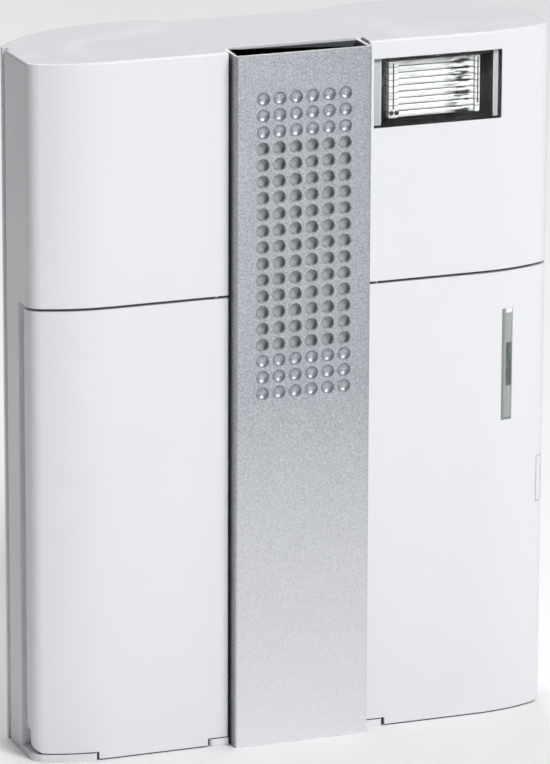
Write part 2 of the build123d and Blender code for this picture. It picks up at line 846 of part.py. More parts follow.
# Paper cone, hollowed from the front, with the hole of its voice coil
cone_rim = surround_inner - pilot_clearance
cone_rim_y = gasket_thickness + surround_height
cone_floor_y = basket_end - speaker_sheet - seat_gap
with BuildPart() as speaker_cone:
    speaker_disc(cone_rim, cone_rim_y, cone_floor_y)
    cone_floor = speaker_cone.faces().sort_by(Axis.Y)[-1]
    chamfer(
        cone_floor.edges(),
        length=cone_rim - dust_cap_radius,
        length2=cone_floor_y - cone_rim_y - cone_thickness,
        reference=cone_floor,
    )
    offset(amount=-cone_thickness, openings=speaker_cone.faces().sort_by(Axis.Y)[0])
    speaker_disc(dust_cap_radius / 2, cone_rim_y, cone_floor_y, Mode.SUBTRACT)
speaker_cone.part.label = "speaker_cone"
export_step(speaker_cone.part, "parts/speaker_cone.step")

# Dust cap over the middle of the cone
cap_foot_y = cone_floor_y - cone_thickness
cap_rim_y = cap_foot_y - cone_thickness
cap_radius = dust_cap_radius - cone_thickness
with BuildPart() as dust_cap:
    speaker_disc(cap_radius, cap_rim_y - dust_cap_height, cap_foot_y)
    cap_front = dust_cap.faces().sort_by(Axis.Y)[0]
    chamfer(
        cap_front.edges(),
        length=cap_radius / 2,
        length2=dust_cap_height,
        reference=cap_front,
    )
dust_cap.part.label = "dust_cap"
export_step(dust_cap.part, "parts/dust_cap.step")

# Frame that clamps the loudspeaker's flange, with four screws
with BuildPart() as speaker_retainer:
    with BuildSketch(wall_plane(retainer_seat_y)):
        speaker_seat()
        with Locations((0, hole_centre_z)):
            RegularPolygon(basket_outer + seat_gap, speaker_sides, major_radius=False, mode=Mode.SUBTRACT)
        with Locations(*speaker_screw_places):
            RegularPolygon(
                speaker_screw_radius + screw_clearance,
                screw_sides,
                major_radius=False,
                mode=Mode.SUBTRACT,
            )
    extrude(amount=-retainer_thickness)
speaker_retainer.part.label = "speaker_retainer"
export_step(speaker_retainer.part, "parts/speaker_retainer.step")

retainer_back_y = retainer_seat_y + retainer_thickness
with BuildPart() as speaker_screws:
    with BuildSketch(wall_plane(retainer_back_y)):
        with Locations(*speaker_screw_places):
            RegularPolygon(speaker_screw_head, screw_sides)
    extrude(amount=-speaker_screw_head_height)
    with BuildSketch(wall_plane(retainer_back_y)):
        with Locations(*speaker_screw_places):
            RegularPolygon(speaker_screw_radius, screw_sides)
    extrude(amount=retainer_back_y - channel_floor_y - speaker_screw_gap)
speaker_screws.part.label = "speaker_screws"
export_step(speaker_screws.part, "parts/speaker_screws.step")

# Case screws from the back
with BuildPart() as case_screws:
    with BuildSketch(wall_plane(seam_y + screw_seat_depth)):
        with Locations(*case_screw_places):
            RegularPolygon(screw_head_radius, boss_sides)
    extrude(amount=-screw_head_height)
    with BuildSketch(wall_plane(seam_y + screw_seat_depth + screw_head_height)):
        with Locations(*case_screw_places):
            with PolarLocations(0, 2, angular_range=180):
                Rectangle(2 * screw_shank_radius, recess_width)
    extrude(amount=recess_depth, mode=Mode.SUBTRACT)
    with BuildSketch(wall_plane(seam_y + screw_seat_depth)):
        with Locations(*case_screw_places):
            RegularPolygon(screw_shank_radius, screw_sides)
    extrude(amount=screw_seat_depth + screw_reach)
case_screws.part.label = "case_screws"
export_step(case_screws.part, "parts/case_screws.step")

# Doors: curved plates with rounded edges, a hinge knuckle, catch tabs and corner notches
door_inner_x = channel_half_width
door_outer_x = cover_width / 2
lug_clear_x = hinge_x + hinge_lug_radius + hinge_lug_gap
knuckle_low_z = floor_thickness + door_gap
lip_top_z = floor_thickness + door_gap
catch_outer_x = frame_inner_x - catch_side_gap


def build_door(side, outer_bottom_z):
    """Door blank for one side, -1 left and 1 right, with the bottom of its outer corner given."""
    inward = 0 if side > 0 else -1
    align_x = Align.MIN if side > 0 else Align.MAX
    with BuildPart() as door:
        with BuildSketch(Plane.XY.offset(door_bottom_z)):
            add(cover_outer)
            with Locations((side * door_inner_x, door_edge_y)):
                Rectangle(cover_width, 2 * front_depth, align=(align_x, Align.MAX), mode=Mode.INTERSECT)
        extrude(amount=door_top_z - door_bottom_z)
        hinge_edge = door.edges().filter_by(Axis.Z).group_by(Axis.Y)[0].sort_by(Axis.X)[inward]
        fillet(hinge_edge, radius=door_edge_round)
        with BuildSketch(Plane.XY.offset(door_bottom_z)):
            add(door_inner)
        extrude(amount=door_top_z - door_bottom_z, mode=Mode.SUBTRACT)
        # outer corner: notch beside the lip, then the rounded corner
        if outer_bottom_z > door_bottom_z:
            block(
                (side * (corner_lip_x - corner_notch), side * (door_outer_x + overrun)),
                (strip_front_y, seam_y),
                (0, outer_bottom_z),
                Mode.SUBTRACT,
            )
        with BuildSketch(wall_plane(seam_y)):
            corner = (side * door_outer_x, outer_bottom_z)
            with Locations(corner):
                Rectangle(2 * door_corner_radius, 2 * door_corner_radius)
            with Locations((corner[0] - side * door_corner_radius, corner[1] + door_corner_radius)):
                Circle(door_corner_radius, mode=Mode.SUBTRACT)
                Rectangle(
                    2 * door_corner_radius,
                    2 * door_corner_radius,
                    align=(Align.MAX if side > 0 else Align.MIN, Align.CENTER),
                    mode=Mode.SUBTRACT,
                )
                Rectangle(
                    2 * door_corner_radius,
                    2 * door_corner_radius,
                    align=(Align.CENTER, Align.MIN),
                    mode=Mode.SUBTRACT,
                )
        extrude(amount=front_depth + strip_proud, mode=Mode.SUBTRACT)
        # latch notch in the returned side
        block(
            (side * (door_outer_x - door_inset), side * (door_outer_x + overrun)),
            (corner_y, seam_y),
            (0, latch_notch_height),
            Mode.SUBTRACT,
        )
        # room for the lower hinge lug
        block(
            (side * (door_inner_x - overrun), side * lug_clear_x),
            (strip_front_y, seam_y),
            (0, knuckle_low_z),
            Mode.SUBTRACT,
        )
        with BuildSketch(Plane.XY.offset(knuckle_low_z)):
            with Locations((side * hinge_x, hinge_y)):
                Circle(hinge_knuckle_radius)
        extrude(amount=door_top_z - door_edge_round - knuckle_low_z)
        with BuildSketch(Plane.XY.offset(knuckle_low_z)):
            with Locations((side * hinge_x, hinge_y)):
                Circle(hinge_pin_radius + pin_seat)
        extrude(amount=hinge_pin_grip, mode=Mode.SUBTRACT)
        with BuildSketch(Plane.XY.offset(door_top_z - hinge_pin_grip)):
            with Locations((side * hinge_x, hinge_y)):
                Circle(hinge_pin_radius + pin_seat)
        extrude(amount=hinge_pin_grip, mode=Mode.SUBTRACT)
        for z in (catch_low_z, catch_high_z):
            block(
                (side * catch_outer_x, side * (catch_outer_x - catch_thickness)),
                (front_y + knee_drop, front_y + catch_reach),
                (z - catch_height / 2, z + catch_height / 2),
            )
    return door.part


with BuildPart() as left_door:
    add(build_door(-1, lip_top_z))
left_door.part.label = "left_door"
export_step(left_door.part, "parts/left_door.step")

bar_low_z = bar_z - bar_height / 2
with BuildPart() as right_door:
    add(build_door(1, door_bottom_z))
    block(
        (bar_x - bar_width / 2 - bar_clearance, bar_x + bar_width / 2 + bar_clearance),
        (front_y - overrun, front_y + knee_drop + door_thickness),
        (
            bar_low_z - bar_clearance,
            bar_low_z + bar_height + bar_clearance,
        ),
        Mode.SUBTRACT,
    )
    block(
        (key_x - key_width / 2 - key_clearance, key_x + key_width / 2 + key_clearance),
        (front_y - overrun, door_edge_y),
        (key_z - key_height / 2 - key_clearance, key_z + key_height / 2 + key_clearance),
        Mode.SUBTRACT,
    )
right_door.part.label = "right_door"
export_step(right_door.part, "parts/right_door.step")

# Hinge pins, pressed into the doors and turning in the cover
for side, name in ((-1, "left_hinge_pins"), (1, "right_hinge_pins")):
    with BuildPart() as hinge_pins:
        with BuildSketch(Plane.XY.offset(door_bottom_z)):
            with Locations((side * hinge_x, hinge_y)):
                Circle(hinge_pin_radius)
        extrude(amount=knuckle_low_z + hinge_pin_grip - door_bottom_z)
        with BuildSketch(Plane.XY.offset(door_top_z - hinge_pin_grip)):
            with Locations((side * hinge_x, hinge_y)):
                Circle(hinge_pin_radius)
        extrude(amount=hinge_pin_grip + split_gap + hinge_pin_reach)
    hinge_pins.part.label = name
    export_step(hinge_pins.part, "parts/" + name + ".step")

# Light bar: a lens flush in the right door, with a light-guide core behind its middle
with BuildPart() as light_bar:
    with BuildSketch(Plane.XY.offset(bar_low_z)):
        add(cover_outer)
        add(door_inner, mode=Mode.SUBTRACT)
        with Locations((bar_x, front_y)):
            Rectangle(bar_width, 2 * (knee_drop + door_thickness), mode=Mode.INTERSECT)
    extrude(amount=bar_height)
    with BuildSketch(Plane.XY.offset(bar_low_z - bar_flange)):
        add(door_inner)
        add(front_plan(door_thickness + bar_flange_thickness), mode=Mode.SUBTRACT)
        with Locations((bar_x, front_y)):
            Rectangle(
                bar_width + 2 * bar_flange,
                2 * (knee_drop + door_inset + bar_flange_thickness),
                mode=Mode.INTERSECT,
            )
    extrude(amount=bar_height + 2 * bar_flange)
    with BuildSketch(wall_plane(front_y + door_thickness + bar_flange_thickness)):
        with Locations((bar_x, bar_z)):
            SlotOverall(bar_core_height, bar_width, rotation=90)
    extrude(amount=-bar_core_depth)
light_bar.part.label = "light_bar"
export_step(light_bar.part, "parts/light_bar.step")

# Release key: its face follows the door, and its foot hooks behind the door's inner face
with BuildPart() as release_key:
    with BuildSketch(Plane.XY.offset(key_z - key_height / 2)):
        add(cover_outer)
        with Locations((key_x, key_rear_y)):
            Rectangle(key_width, front_depth, align=(Align.CENTER, Align.MAX), mode=Mode.INTERSECT)
        with Locations((key_x - key_width / 2, key_rear_y)):
            Rectangle(key_foot_width, key_foot_thickness, align=(Align.MAX, Align.MAX))
    extrude(amount=key_height)
release_key.part.label = "release_key"
export_step(release_key.part, "parts/release_key.step")

# Flash lamp: clear window with skirt and flange
with BuildPart() as flash_window:
    block(
        (window_left, window_right + window_flange),
        (cover_back_y, cover_back_y + window_flange_thickness),
        (window_low - window_flange, window_high + window_flange),
    )
    with BuildSketch():
        add(cover_inner)
    extrude(amount=box_height, mode=Mode.INTERSECT)
    block((window_left, window_right), (front_y, front_y + window_skirt), (window_low, window_high))
    block(
        (window_left + window_wall, window_right - window_wall),
        (front_y + window_plate, front_y + window_skirt + overrun),
        (window_low + window_wall, window_high - window_wall),
        Mode.SUBTRACT,
    )
    front_edges = flash_window.faces().sort_by(Axis.Y)[0].edges()
    fillet(front_edges, radius=window_clearance)
flash_window.part.label = "flash_window"
export_step(flash_window.part, "parts/flash_window.step")

# Dark bracket round the window's skirt, open to the front and beside the strip channel
bracket_front_y = cover_back_y + window_flange_thickness
bracket_back_y = bracket_front_y + bracket_depth
bracket_margin = bracket_clearance + bracket_wall
with BuildPart() as flash_bracket:
    block(
        (window_left, window_right + bracket_margin),
        (bracket_front_y, bracket_back_y),
        (window_low - bracket_margin, window_high + bracket_margin),
    )
    block(
        (window_left + bracket_wall, window_right + bracket_clearance),
        (bracket_front_y - overrun, bracket_back_y - bracket_wall),
        (window_low - bracket_clearance, window_high + bracket_clearance),
        Mode.SUBTRACT,
    )
    block(
        (window_left - overrun, window_left + bracket_wall + bracket_clearance),
        (bracket_front_y - overrun, front_y + window_skirt + bracket_clearance),
        (window_low - bracket_clearance, window_high + bracket_clearance),
        Mode.SUBTRACT,
    )
    corners = flash_bracket.edges().filter_by(Axis.Y).group_by(SortBy.LENGTH)[-1]
    fillet(corners, radius=bracket_corner)
flash_bracket.part.label = "flash_bracket"
export_step(flash_bracket.part, "parts/flash_bracket.step")

# Polished trough reflector, standing on the bracket floor
reflector_back_y = bracket_back_y - bracket_wall
reflector_front_y = reflector_back_y - reflector_depth
reflector_width = lens_width - 2 * lens_plate
reflector_left = window_x - reflector_width / 2
reflector_right = window_x + reflector_width / 2
tube_y = reflector_back_y - reflector_sheet - tube_radius - tube_standoff
with BuildPart() as flash_reflector:
    with BuildSketch(Plane.YZ.offset(reflector_left)) as trough:
        with BuildLine():
            mouth_low = (reflector_front_y, window_z - reflector_mouth / 2)
            mouth_high = (reflector_front_y, window_z + reflector_mouth / 2)
            ThreePointArc(mouth_low, (reflector_back_y, window_z), mouth_high)
            Line(mouth_high, mouth_low)
        make_face()
        with BuildLine():
            inner_low = (reflector_front_y, window_z - reflector_mouth / 2 + reflector_sheet)
            inner_high = (reflector_front_y, window_z + reflector_mouth / 2 - reflector_sheet)
            ThreePointArc(inner_low, (reflector_back_y - reflector_sheet, window_z), inner_high)
            Line(inner_high, inner_low)
        make_face(mode=Mode.SUBTRACT)
    extrude(amount=reflector_width)
    for x in (reflector_left, reflector_right - reflector_sheet):
        with BuildSketch(Plane.YZ.offset(x)):
            with BuildLine():
                ThreePointArc(mouth_low, (reflector_back_y, window_z), mouth_high)
                Line(mouth_high, mouth_low)
            make_face()
            with Locations((tube_y, window_z)):
                Circle(electrode_radius + tube_clearance, mode=Mode.SUBTRACT)
        extrude(amount=reflector_sheet)
flash_reflector.part.label = "flash_reflector"
export_step(flash_reflector.part, "parts/flash_reflector.step")

with BuildPart() as flash_tube:
    with BuildSketch(Plane.YZ.offset(reflector_left)):
        with Locations((tube_y, window_z)):
            Circle(tube_radius)
    extrude(amount=reflector_width)
flash_tube.part.label = "flash_tube"
export_step(flash_tube.part, "parts/flash_tube.step")

with BuildPart() as flash_electrodes:
    for x in (reflector_left - tube_overhang, reflector_right):
        with BuildSketch(Plane.YZ.offset(x)):
            with Locations((tube_y, window_z)):
                RegularPolygon(electrode_radius, component_sides)
        extrude(amount=tube_overhang)
flash_electrodes.part.label = "flash_electrodes"
export_step(flash_electrodes.part, "parts/flash_electrodes.step")

# Ribbed lens, standing on the reflector's mouth
lens_front_y = front_y + window_plate + lens_setback
lens_left = window_x - lens_width / 2
lens_right = window_x + lens_width / 2
lens_low = window_z - lens_height / 2
lens_high = window_z + lens_height / 2
rib_pitch = lens_height / lens_ribs
rib_places = [lens_low + (2 * index + 1) * rib_pitch / 2 for index in range(lens_ribs)]
with BuildPart() as flash_lens:
    block((lens_left, lens_right), (lens_front_y, lens_front_y + lens_plate), (lens_low, lens_high))
    for x_span in ((lens_left, lens_left + lens_plate), (lens_right - lens_plate, lens_right)):
        block(x_span, (lens_front_y, reflector_front_y), (lens_low, lens_high))
    for z_span in ((lens_low, lens_low + reflector_sheet), (lens_high - reflector_sheet, lens_high)):
        block((lens_left, lens_right), (lens_front_y, reflector_front_y), z_span)
    with BuildSketch(Plane.YZ.offset(lens_left + lens_bar_left)):
        for z in rib_places:
            with BuildLine():
                rib = ThreePointArc(
                    (lens_front_y, z - rib_pitch / 2),
                    (lens_front_y - rib_pitch / 4, z),
                    (lens_front_y, z + rib_pitch / 2),
                )
                Line(rib @ 1, rib @ 0)
            make_face()
    extrude(amount=lens_width - lens_bar_left - lens_bar_right)
    for x_span in ((lens_left, lens_left + lens_bar_left), (lens_right - lens_bar_right, lens_right)):
        block(x_span, (lens_front_y - lens_bar_height, lens_front_y), (lens_low, lens_high))
flash_lens.part.label = "flash_lens"
export_step(flash_lens.part, "parts/flash_lens.step")

# Battery tray on the left: open box with ribs between the three columns of cells
bay_left = -bay_middle_x - tray_width / 2
bay_right = -bay_middle_x + tray_width / 2
columns_x = [bay_left + tray_wall + cell_gap + cell_radius + index * cell_pitch for index in range(cell_columns)]
with BuildPart() as battery_tray:
    block((bay_left, bay_right), (tray_front_y, tray_back_y), (tray_base_z, tray_top_z))
    block(
        (bay_left + tray_wall, bay_right - tray_wall),
        (tray_front_y - overrun, tray_floor_y),
        (tray_base_z + tray_wall, tray_top_z - tray_wall),
        Mode.SUBTRACT,
    )
    for x in columns_x[1:]:
        rib_x = x - cell_pitch / 2
        block(
            (rib_x - tray_rib / 2, rib_x + tray_rib / 2),
            (tray_floor_y - tray_rib_height, tray_floor_y),
            (tray_base_z + tray_wall, tray_top_z - tray_wall),
        )
battery_tray.part.label = "battery_tray"
export_step(battery_tray.part, "parts/battery_tray.step")

# Cells stand in series, the middle column the other way up
cells_low_z = tray_base_z + tray_wall
cells_high_z = tray_top_z - tray_wall
with BuildPart() as battery_cells:
    for index, x in enumerate(columns_x):
        for row in range(cell_rows):
            if index % 2 == 0:
                cell_z = cells_low_z + leaf_height + row * cell_length
                nub_z = cell_z + cell_body
            else:
                cell_z = cells_low_z + contact_sheet + row * cell_length + cell_nub
                nub_z = cell_z - cell_nub
            with BuildSketch(Plane.XY.offset(cell_z)):
                with Locations((x, cell_y)):
                    RegularPolygon(cell_radius, cell_sides)
            extrude(amount=cell_body)
            with BuildSketch(Plane.XY.offset(nub_z)):
                with Locations((x, cell_y)):
                    RegularPolygon(cell_nub_radius, cell_nub_sides)
            extrude(amount=cell_nub)
battery_cells.part.label = "battery_cells"
export_step(battery_cells.part, "parts/battery_cells.step")

# Flat positive contacts and folded leaf springs for the negative ends
with BuildPart() as contact_plates:
    for index, x in enumerate(columns_x):
        plate_z = cells_high_z - contact_sheet if index % 2 == 0 else cells_low_z
        block(
            (x - contact_width / 2, x + contact_width / 2),
            (cell_y - contact_width / 2, cell_y + contact_width / 2),
            (plate_z, plate_z + contact_sheet),
        )
contact_plates.part.label = "contact_plates"
export_step(contact_plates.part, "parts/contact_plates.step")

with BuildPart() as contact_leaves:
    for index, x in enumerate(columns_x):
        base_z = cells_low_z if index % 2 == 0 else cells_high_z
        rise = 1 if index % 2 == 0 else -1
        with BuildSketch(Plane.YZ.offset(x - leaf_width / 2)):
            with BuildLine():
                Polyline(
                    (cell_y - contact_width / 2, base_z),
                    (cell_y + contact_width / 2, base_z),
                    (cell_y + contact_width / 2, base_z + rise * contact_sheet),
                    (cell_y - contact_width / 2 + contact_sheet, base_z + rise * contact_sheet),
                    (cell_y + contact_width / 4, base_z + rise * (leaf_height - contact_sheet)),
                    (cell_y + contact_width / 4, base_z + rise * leaf_height),
                    (cell_y - contact_width / 4, base_z + rise * leaf_height),
                    (cell_y - contact_width / 2, base_z + rise * contact_sheet),
                    close=True,
                )
            make_face()
        extrude(amount=leaf_width)
contact_leaves.part.label = "contact_leaves"
export_step(contact_leaves.part, "parts/contact_leaves.step")

# Control panel on the right: a shallow box, open to the back, that carries the controls
panel_left = bay_middle_x - tray_width / 2
panel_right = bay_middle_x + tray_width / 2
shaft_hole = shaft_radius + shaft_running
button_places = [(control_x, melody_z), (control_x, learn_z)]
with BuildPart() as control_panel:
    block((panel_left, panel_right), (panel_front_y, tray_back_y), (tray_base_z, tray_top_z))
    block(
        (panel_left + tray_wall, panel_right - tray_wall),
        (panel_back_y, tray_back_y + overrun),
        (tray_base_z + tray_wall, tray_top_z - tray_wall),
        Mode.SUBTRACT,
    )
    with BuildSketch(wall_plane(panel_front_y)):
        with Locations((control_x, knob_z)):
            Circle(shaft_hole)
        with Locations(*button_places):
            Circle(button_radius + button_gap)
        with Locations((bar_x, bar_z)):
            Circle(led_radius + button_gap)
        with Locations((control_x, slider_z)):
            Rectangle(
                slider_width + 2 * slider_gap,
                slider_length + 2 * slider_travel + 2 * slider_gap,
            )
    extrude(amount=-panel_thickness, mode=Mode.SUBTRACT)
control_panel.part.label = "control_panel"
export_step(control_panel.part, "parts/control_panel.step")

with BuildPart() as control_board:
    block(
        (
            panel_left + tray_wall + control_board_margin,
            panel_right - tray_wall - control_board_margin,
        ),
        (control_board_y, control_board_y + board_thickness),
        (
            tray_base_z + tray_wall + control_board_margin,
            tray_top_z - tray_wall - control_board_margin,
        ),
    )
control_board.part.label = "control_board"
export_step(control_board.part, "parts/control_board.step")

# Volume control: fluted knob on a shaft that turns in the panel, and its potentiometer
knob_back_y = panel_front_y - knob_panel_gap
knob_front_y = knob_back_y - knob_height
with BuildPart() as volume_knob:
    with BuildSketch(wall_plane(knob_back_y)):
        with Locations((control_x, knob_z)):
            Circle(knob_radius)
            with PolarLocations(knob_radius, knob_flutes):
                RegularPolygon(knob_flute_size / 2, knob_flute_sides, mode=Mode.SUBTRACT)
    extrude(amount=knob_height)
    with BuildSketch(wall_plane(knob_front_y)):
        with Locations((control_x, knob_z + knob_radius / 2)):
            Rectangle(knob_mark_width, knob_radius / 2)
    extrude(amount=-knob_mark_depth, mode=Mode.SUBTRACT)
    with BuildSketch(wall_plane(knob_back_y)):
        with Locations((control_x, knob_z)):
            Circle(shaft_radius)
    extrude(amount=-(control_board_y - pot_depth - seat_gap - knob_back_y))
volume_knob.part.label = "volume_knob"
export_step(volume_knob.part, "parts/volume_knob.step")

with BuildPart() as volume_potentiometer:
    with BuildSketch(wall_plane(control_board_y)):
        with Locations((control_x, knob_z)):
            Rectangle(pot_width, pot_width)
    extrude(amount=pot_depth)
volume_potentiometer.part.label = "volume_potentiometer"
export_step(volume_potentiometer.part, "parts/volume_potentiometer.step")

# Two push buttons with collars behind the panel, over small switches on the board
button_back_y = panel_back_y + seat_gap + button_collar_thickness
switch_face_y = button_back_y + button_travel + button_switch_gap
for name, place in (("melody_button", button_places[0]), ("learn_button", button_places[1])):
    with BuildPart() as button:
        with BuildSketch(wall_plane(button_back_y)):
            with Locations(place):
                RegularPolygon(button_radius + button_collar, button_collar_sides)
        extrude(amount=button_collar_thickness)
        with BuildSketch(wall_plane(button_back_y)):
            with Locations(place):
                Circle(button_radius)
        extrude(amount=button_back_y - panel_front_y + button_proud)
        rim = button.edges().filter_by(GeomType.CIRCLE).sort_by(Axis.Y)[0]
        chamfer(rim, length=button_edge)
    button.part.label = name
    export_step(button.part, "parts/" + name + ".step")

with BuildPart() as button_switches:
    for x, z in button_places:
        block(
            (x - switch_body_width / 2, x + switch_body_width / 2),
            (switch_face_y, control_board_y),
            (z - switch_body_width / 2, z + switch_body_width / 2),
        )
button_switches.part.label = "button_switches"
export_step(button_switches.part, "parts/button_switches.step")

# Mode slider in its slot, with a foot behind the panel, and the switch under it
foot_back_y = panel_back_y + seat_gap + slider_foot_thickness
with BuildPart() as mode_slider:
    block(
        (control_x - slider_width / 2, control_x + slider_width / 2),
        (panel_front_y - slider_proud, foot_back_y),
        (slider_z - slider_length / 2, slider_z + slider_length / 2),
    )
    block(
        (control_x - slider_width / 2 - slider_foot, control_x + slider_width / 2 + slider_foot),
        (panel_back_y + seat_gap, foot_back_y),
        (slider_z - slider_length / 2 - slider_foot, slider_z + slider_length / 2 + slider_foot),
    )
    with BuildSketch(Plane.YZ.offset(control_x - slider_width / 2)):
        for step in (-1, 0, 1):
            with Locations((panel_front_y - slider_proud, slider_z + step * slider_length / 4)):
                Rectangle(knob_mark_depth, knob_mark_depth, rotation=45)
    extrude(amount=slider_width, mode=Mode.SUBTRACT)
mode_slider.part.label = "mode_slider"
export_step(mode_slider.part, "parts/mode_slider.step")

with BuildPart() as slide_switch:
    block(
        (control_x - slider_width / 2 - slider_foot, control_x + slider_width / 2 + slider_foot),
        (foot_back_y + seat_gap, control_board_y),
        (slider_z - slider_length, slider_z + slider_length),
    )
slide_switch.part.label = "slide_switch"
export_step(slide_switch.part, "parts/slide_switch.step")

# Signal lamp behind the light bar
led_front_y = panel_front_y - led_proud
with BuildPart() as signal_led:
    with BuildSketch(wall_plane(control_board_y)):
        with Locations((bar_x, bar_z)):
            Circle(led_radius)
    extrude(amount=control_board_y - led_front_y)
    tip = signal_led.edges().filter_by(GeomType.CIRCLE).sort_by(Axis.Y)[0]
    chamfer(tip, length=led_tip)
    with BuildSketch(wall_plane(control_board_y)):
        with Locations((bar_x, bar_z)):
            RegularPolygon(led_radius + led_flange, led_flange_sides)
    extrude(amount=led_flange_thickness)
signal_led.part.label = "signal_led"
export_step(signal_led.part, "parts/signal_led.step")

# Main board on its posts in the back shell
with BuildPart() as main_board:
    block(
        (main_board_left, main_board_right),
        (main_board_y, main_board_y + board_thickness),
        (main_board_bottom, main_board_top),
    )
    with BuildSketch(wall_plane(main_board_y)):
        with Locations(*board_post_places):
            RegularPolygon(board_screw_radius + screw_clearance, screw_sides, major_radius=False)
    extrude(amount=-board_thickness, mode=Mode.SUBTRACT)
main_board.part.label = "main_board"
export_step(main_board.part, "parts/main_board.step")

with BuildPart() as board_screws:
    with BuildSketch(wall_plane(main_board_y)):
        with Locations(*board_post_places):
            RegularPolygon(board_screw_head, screw_sides)
    extrude(amount=board_screw_head_height)
    with BuildSketch(wall_plane(main_board_y)):
        with Locations(*board_post_places):
            RegularPolygon(board_screw_radius, screw_sides)
    extrude(amount=seat_gap - board_screw_length)
board_screws.part.label = "board_screws"
export_step(board_screws.part, "parts/board_screws.step")

# Flash capacitor and trigger coil on the rear face of the board, where the lobe is deep
board_back_y = main_board_y + board_thickness
capacitor_x = main_board_left + capacitor_offset
with BuildPart() as flash_capacitor:
    with BuildSketch(Plane.YZ.offset(capacitor_x - capacitor_length / 2)):
        with Locations((board_back_y + capacitor_radius + seat_gap, main_board_bottom + capacitor_rise)):
            RegularPolygon(capacitor_radius, component_sides)
    extrude(amount=capacitor_length)
flash_capacitor.part.label = "flash_capacitor"
export_step(flash_capacitor.part, "parts/flash_capacitor.step")

coil_y = board_back_y + coil_radius + coil_flange + seat_gap
coil_low_z = main_board_bottom + coil_rise
with BuildPart() as trigger_coil:
    with BuildSketch(Plane.XY.offset(coil_low_z)):
        with Locations((capacitor_x, coil_y)):
            RegularPolygon(coil_radius, component_sides)
    extrude(amount=coil_length)
    for flange_z in (coil_low_z, coil_low_z + coil_length - coil_flange_thickness):
        with BuildSketch(Plane.XY.offset(flange_z)):
            with Locations((capacitor_x, coil_y)):
                RegularPolygon(coil_radius + coil_flange, component_sides)
        extrude(amount=coil_flange_thickness)
trigger_coil.part.label = "trigger_coil"
export_step(trigger_coil.part, "parts/trigger_coil.step")

chip_x = main_board_left + chip_offset
with BuildPart() as controller_chips:
    for z in (main_board_bottom + chip_low_rise, main_board_bottom + chip_high_rise):
        block(
            (chip_x - chip_size / 2, chip_x + chip_size / 2),
            (main_board_y - chip_thickness, main_board_y),
            (z - chip_size / 2, z + chip_size / 2),
        )
controller_chips.part.label = "controller_chips"
export_step(controller_chips.part, "parts/controller_chips.step")

radio_z = main_board_bottom + radio_rise
with BuildPart() as radio_module:
    block(
        (chip_x - radio_width / 2, chip_x + radio_width / 2),
        (main_board_y - radio_thickness, main_board_y),
        (radio_z - radio_height / 2, radio_z + radio_height / 2),
    )
radio_module.part.label = "radio_module"
export_step(radio_module.part, "parts/radio_module.step")

# Strip antenna: stands off the board by its foot and runs up beside it
antenna_x = main_board_left + antenna_offset
antenna_low_z = main_board_bottom + antenna_rise
with BuildPart() as antenna:
    block(
        (antenna_x - antenna_width / 2, antenna_x + antenna_width / 2),
        (main_board_y - antenna_drop - antenna_width, main_board_y),
        (antenna_low_z, antenna_low_z + antenna_width),
    )
    block(
        (antenna_x - antenna_width / 2, antenna_x + antenna_width / 2),
        (main_board_y - antenna_drop - antenna_width, main_board_y - antenna_drop),
        (antenna_low_z, antenna_low_z + antenna_run),
    )
antenna.part.label = "antenna"
export_step(antenna.part, "parts/antenna.step")
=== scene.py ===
"""Dresses the doorbell chime box: finishes, small trim, a pale studio and the camera."""

import logging
import math
from dataclasses import dataclass
from enum import Enum
from typing import ClassVar

import bmesh
import bpy
from mathutils import Matrix, Vector


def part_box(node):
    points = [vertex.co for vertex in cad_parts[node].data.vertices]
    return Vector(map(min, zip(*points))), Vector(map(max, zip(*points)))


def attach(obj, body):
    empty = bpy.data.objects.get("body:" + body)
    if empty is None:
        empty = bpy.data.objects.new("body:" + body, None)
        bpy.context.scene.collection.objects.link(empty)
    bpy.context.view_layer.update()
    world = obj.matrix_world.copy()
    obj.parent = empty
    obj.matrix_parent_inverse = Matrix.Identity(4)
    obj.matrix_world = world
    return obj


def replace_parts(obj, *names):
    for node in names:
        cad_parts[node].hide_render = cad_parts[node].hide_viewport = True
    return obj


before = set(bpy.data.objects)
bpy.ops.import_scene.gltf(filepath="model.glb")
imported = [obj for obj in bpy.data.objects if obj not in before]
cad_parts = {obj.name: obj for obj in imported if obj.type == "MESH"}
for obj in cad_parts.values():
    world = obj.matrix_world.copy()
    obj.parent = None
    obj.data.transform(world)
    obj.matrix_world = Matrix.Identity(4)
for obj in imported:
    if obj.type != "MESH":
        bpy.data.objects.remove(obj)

LOG = logging.getLogger("chime_box")
MM = 0.001
WELD = 0.002 * MM
SHARP = math.radians(32.0)
COLOUR_MIX_INPUTS = (0, 6, 7)
COLOUR_MIX_RESULT = 2
Colour = tuple[float, float, float]
Span = tuple[float, float]
Node = bpy.types.Node
Tree = bpy.types.NodeTree
Socket = bpy.types.NodeSocket
Sockets = bpy.types.bpy_prop_collection
Material = bpy.types.Material
Value = float | tuple | Socket


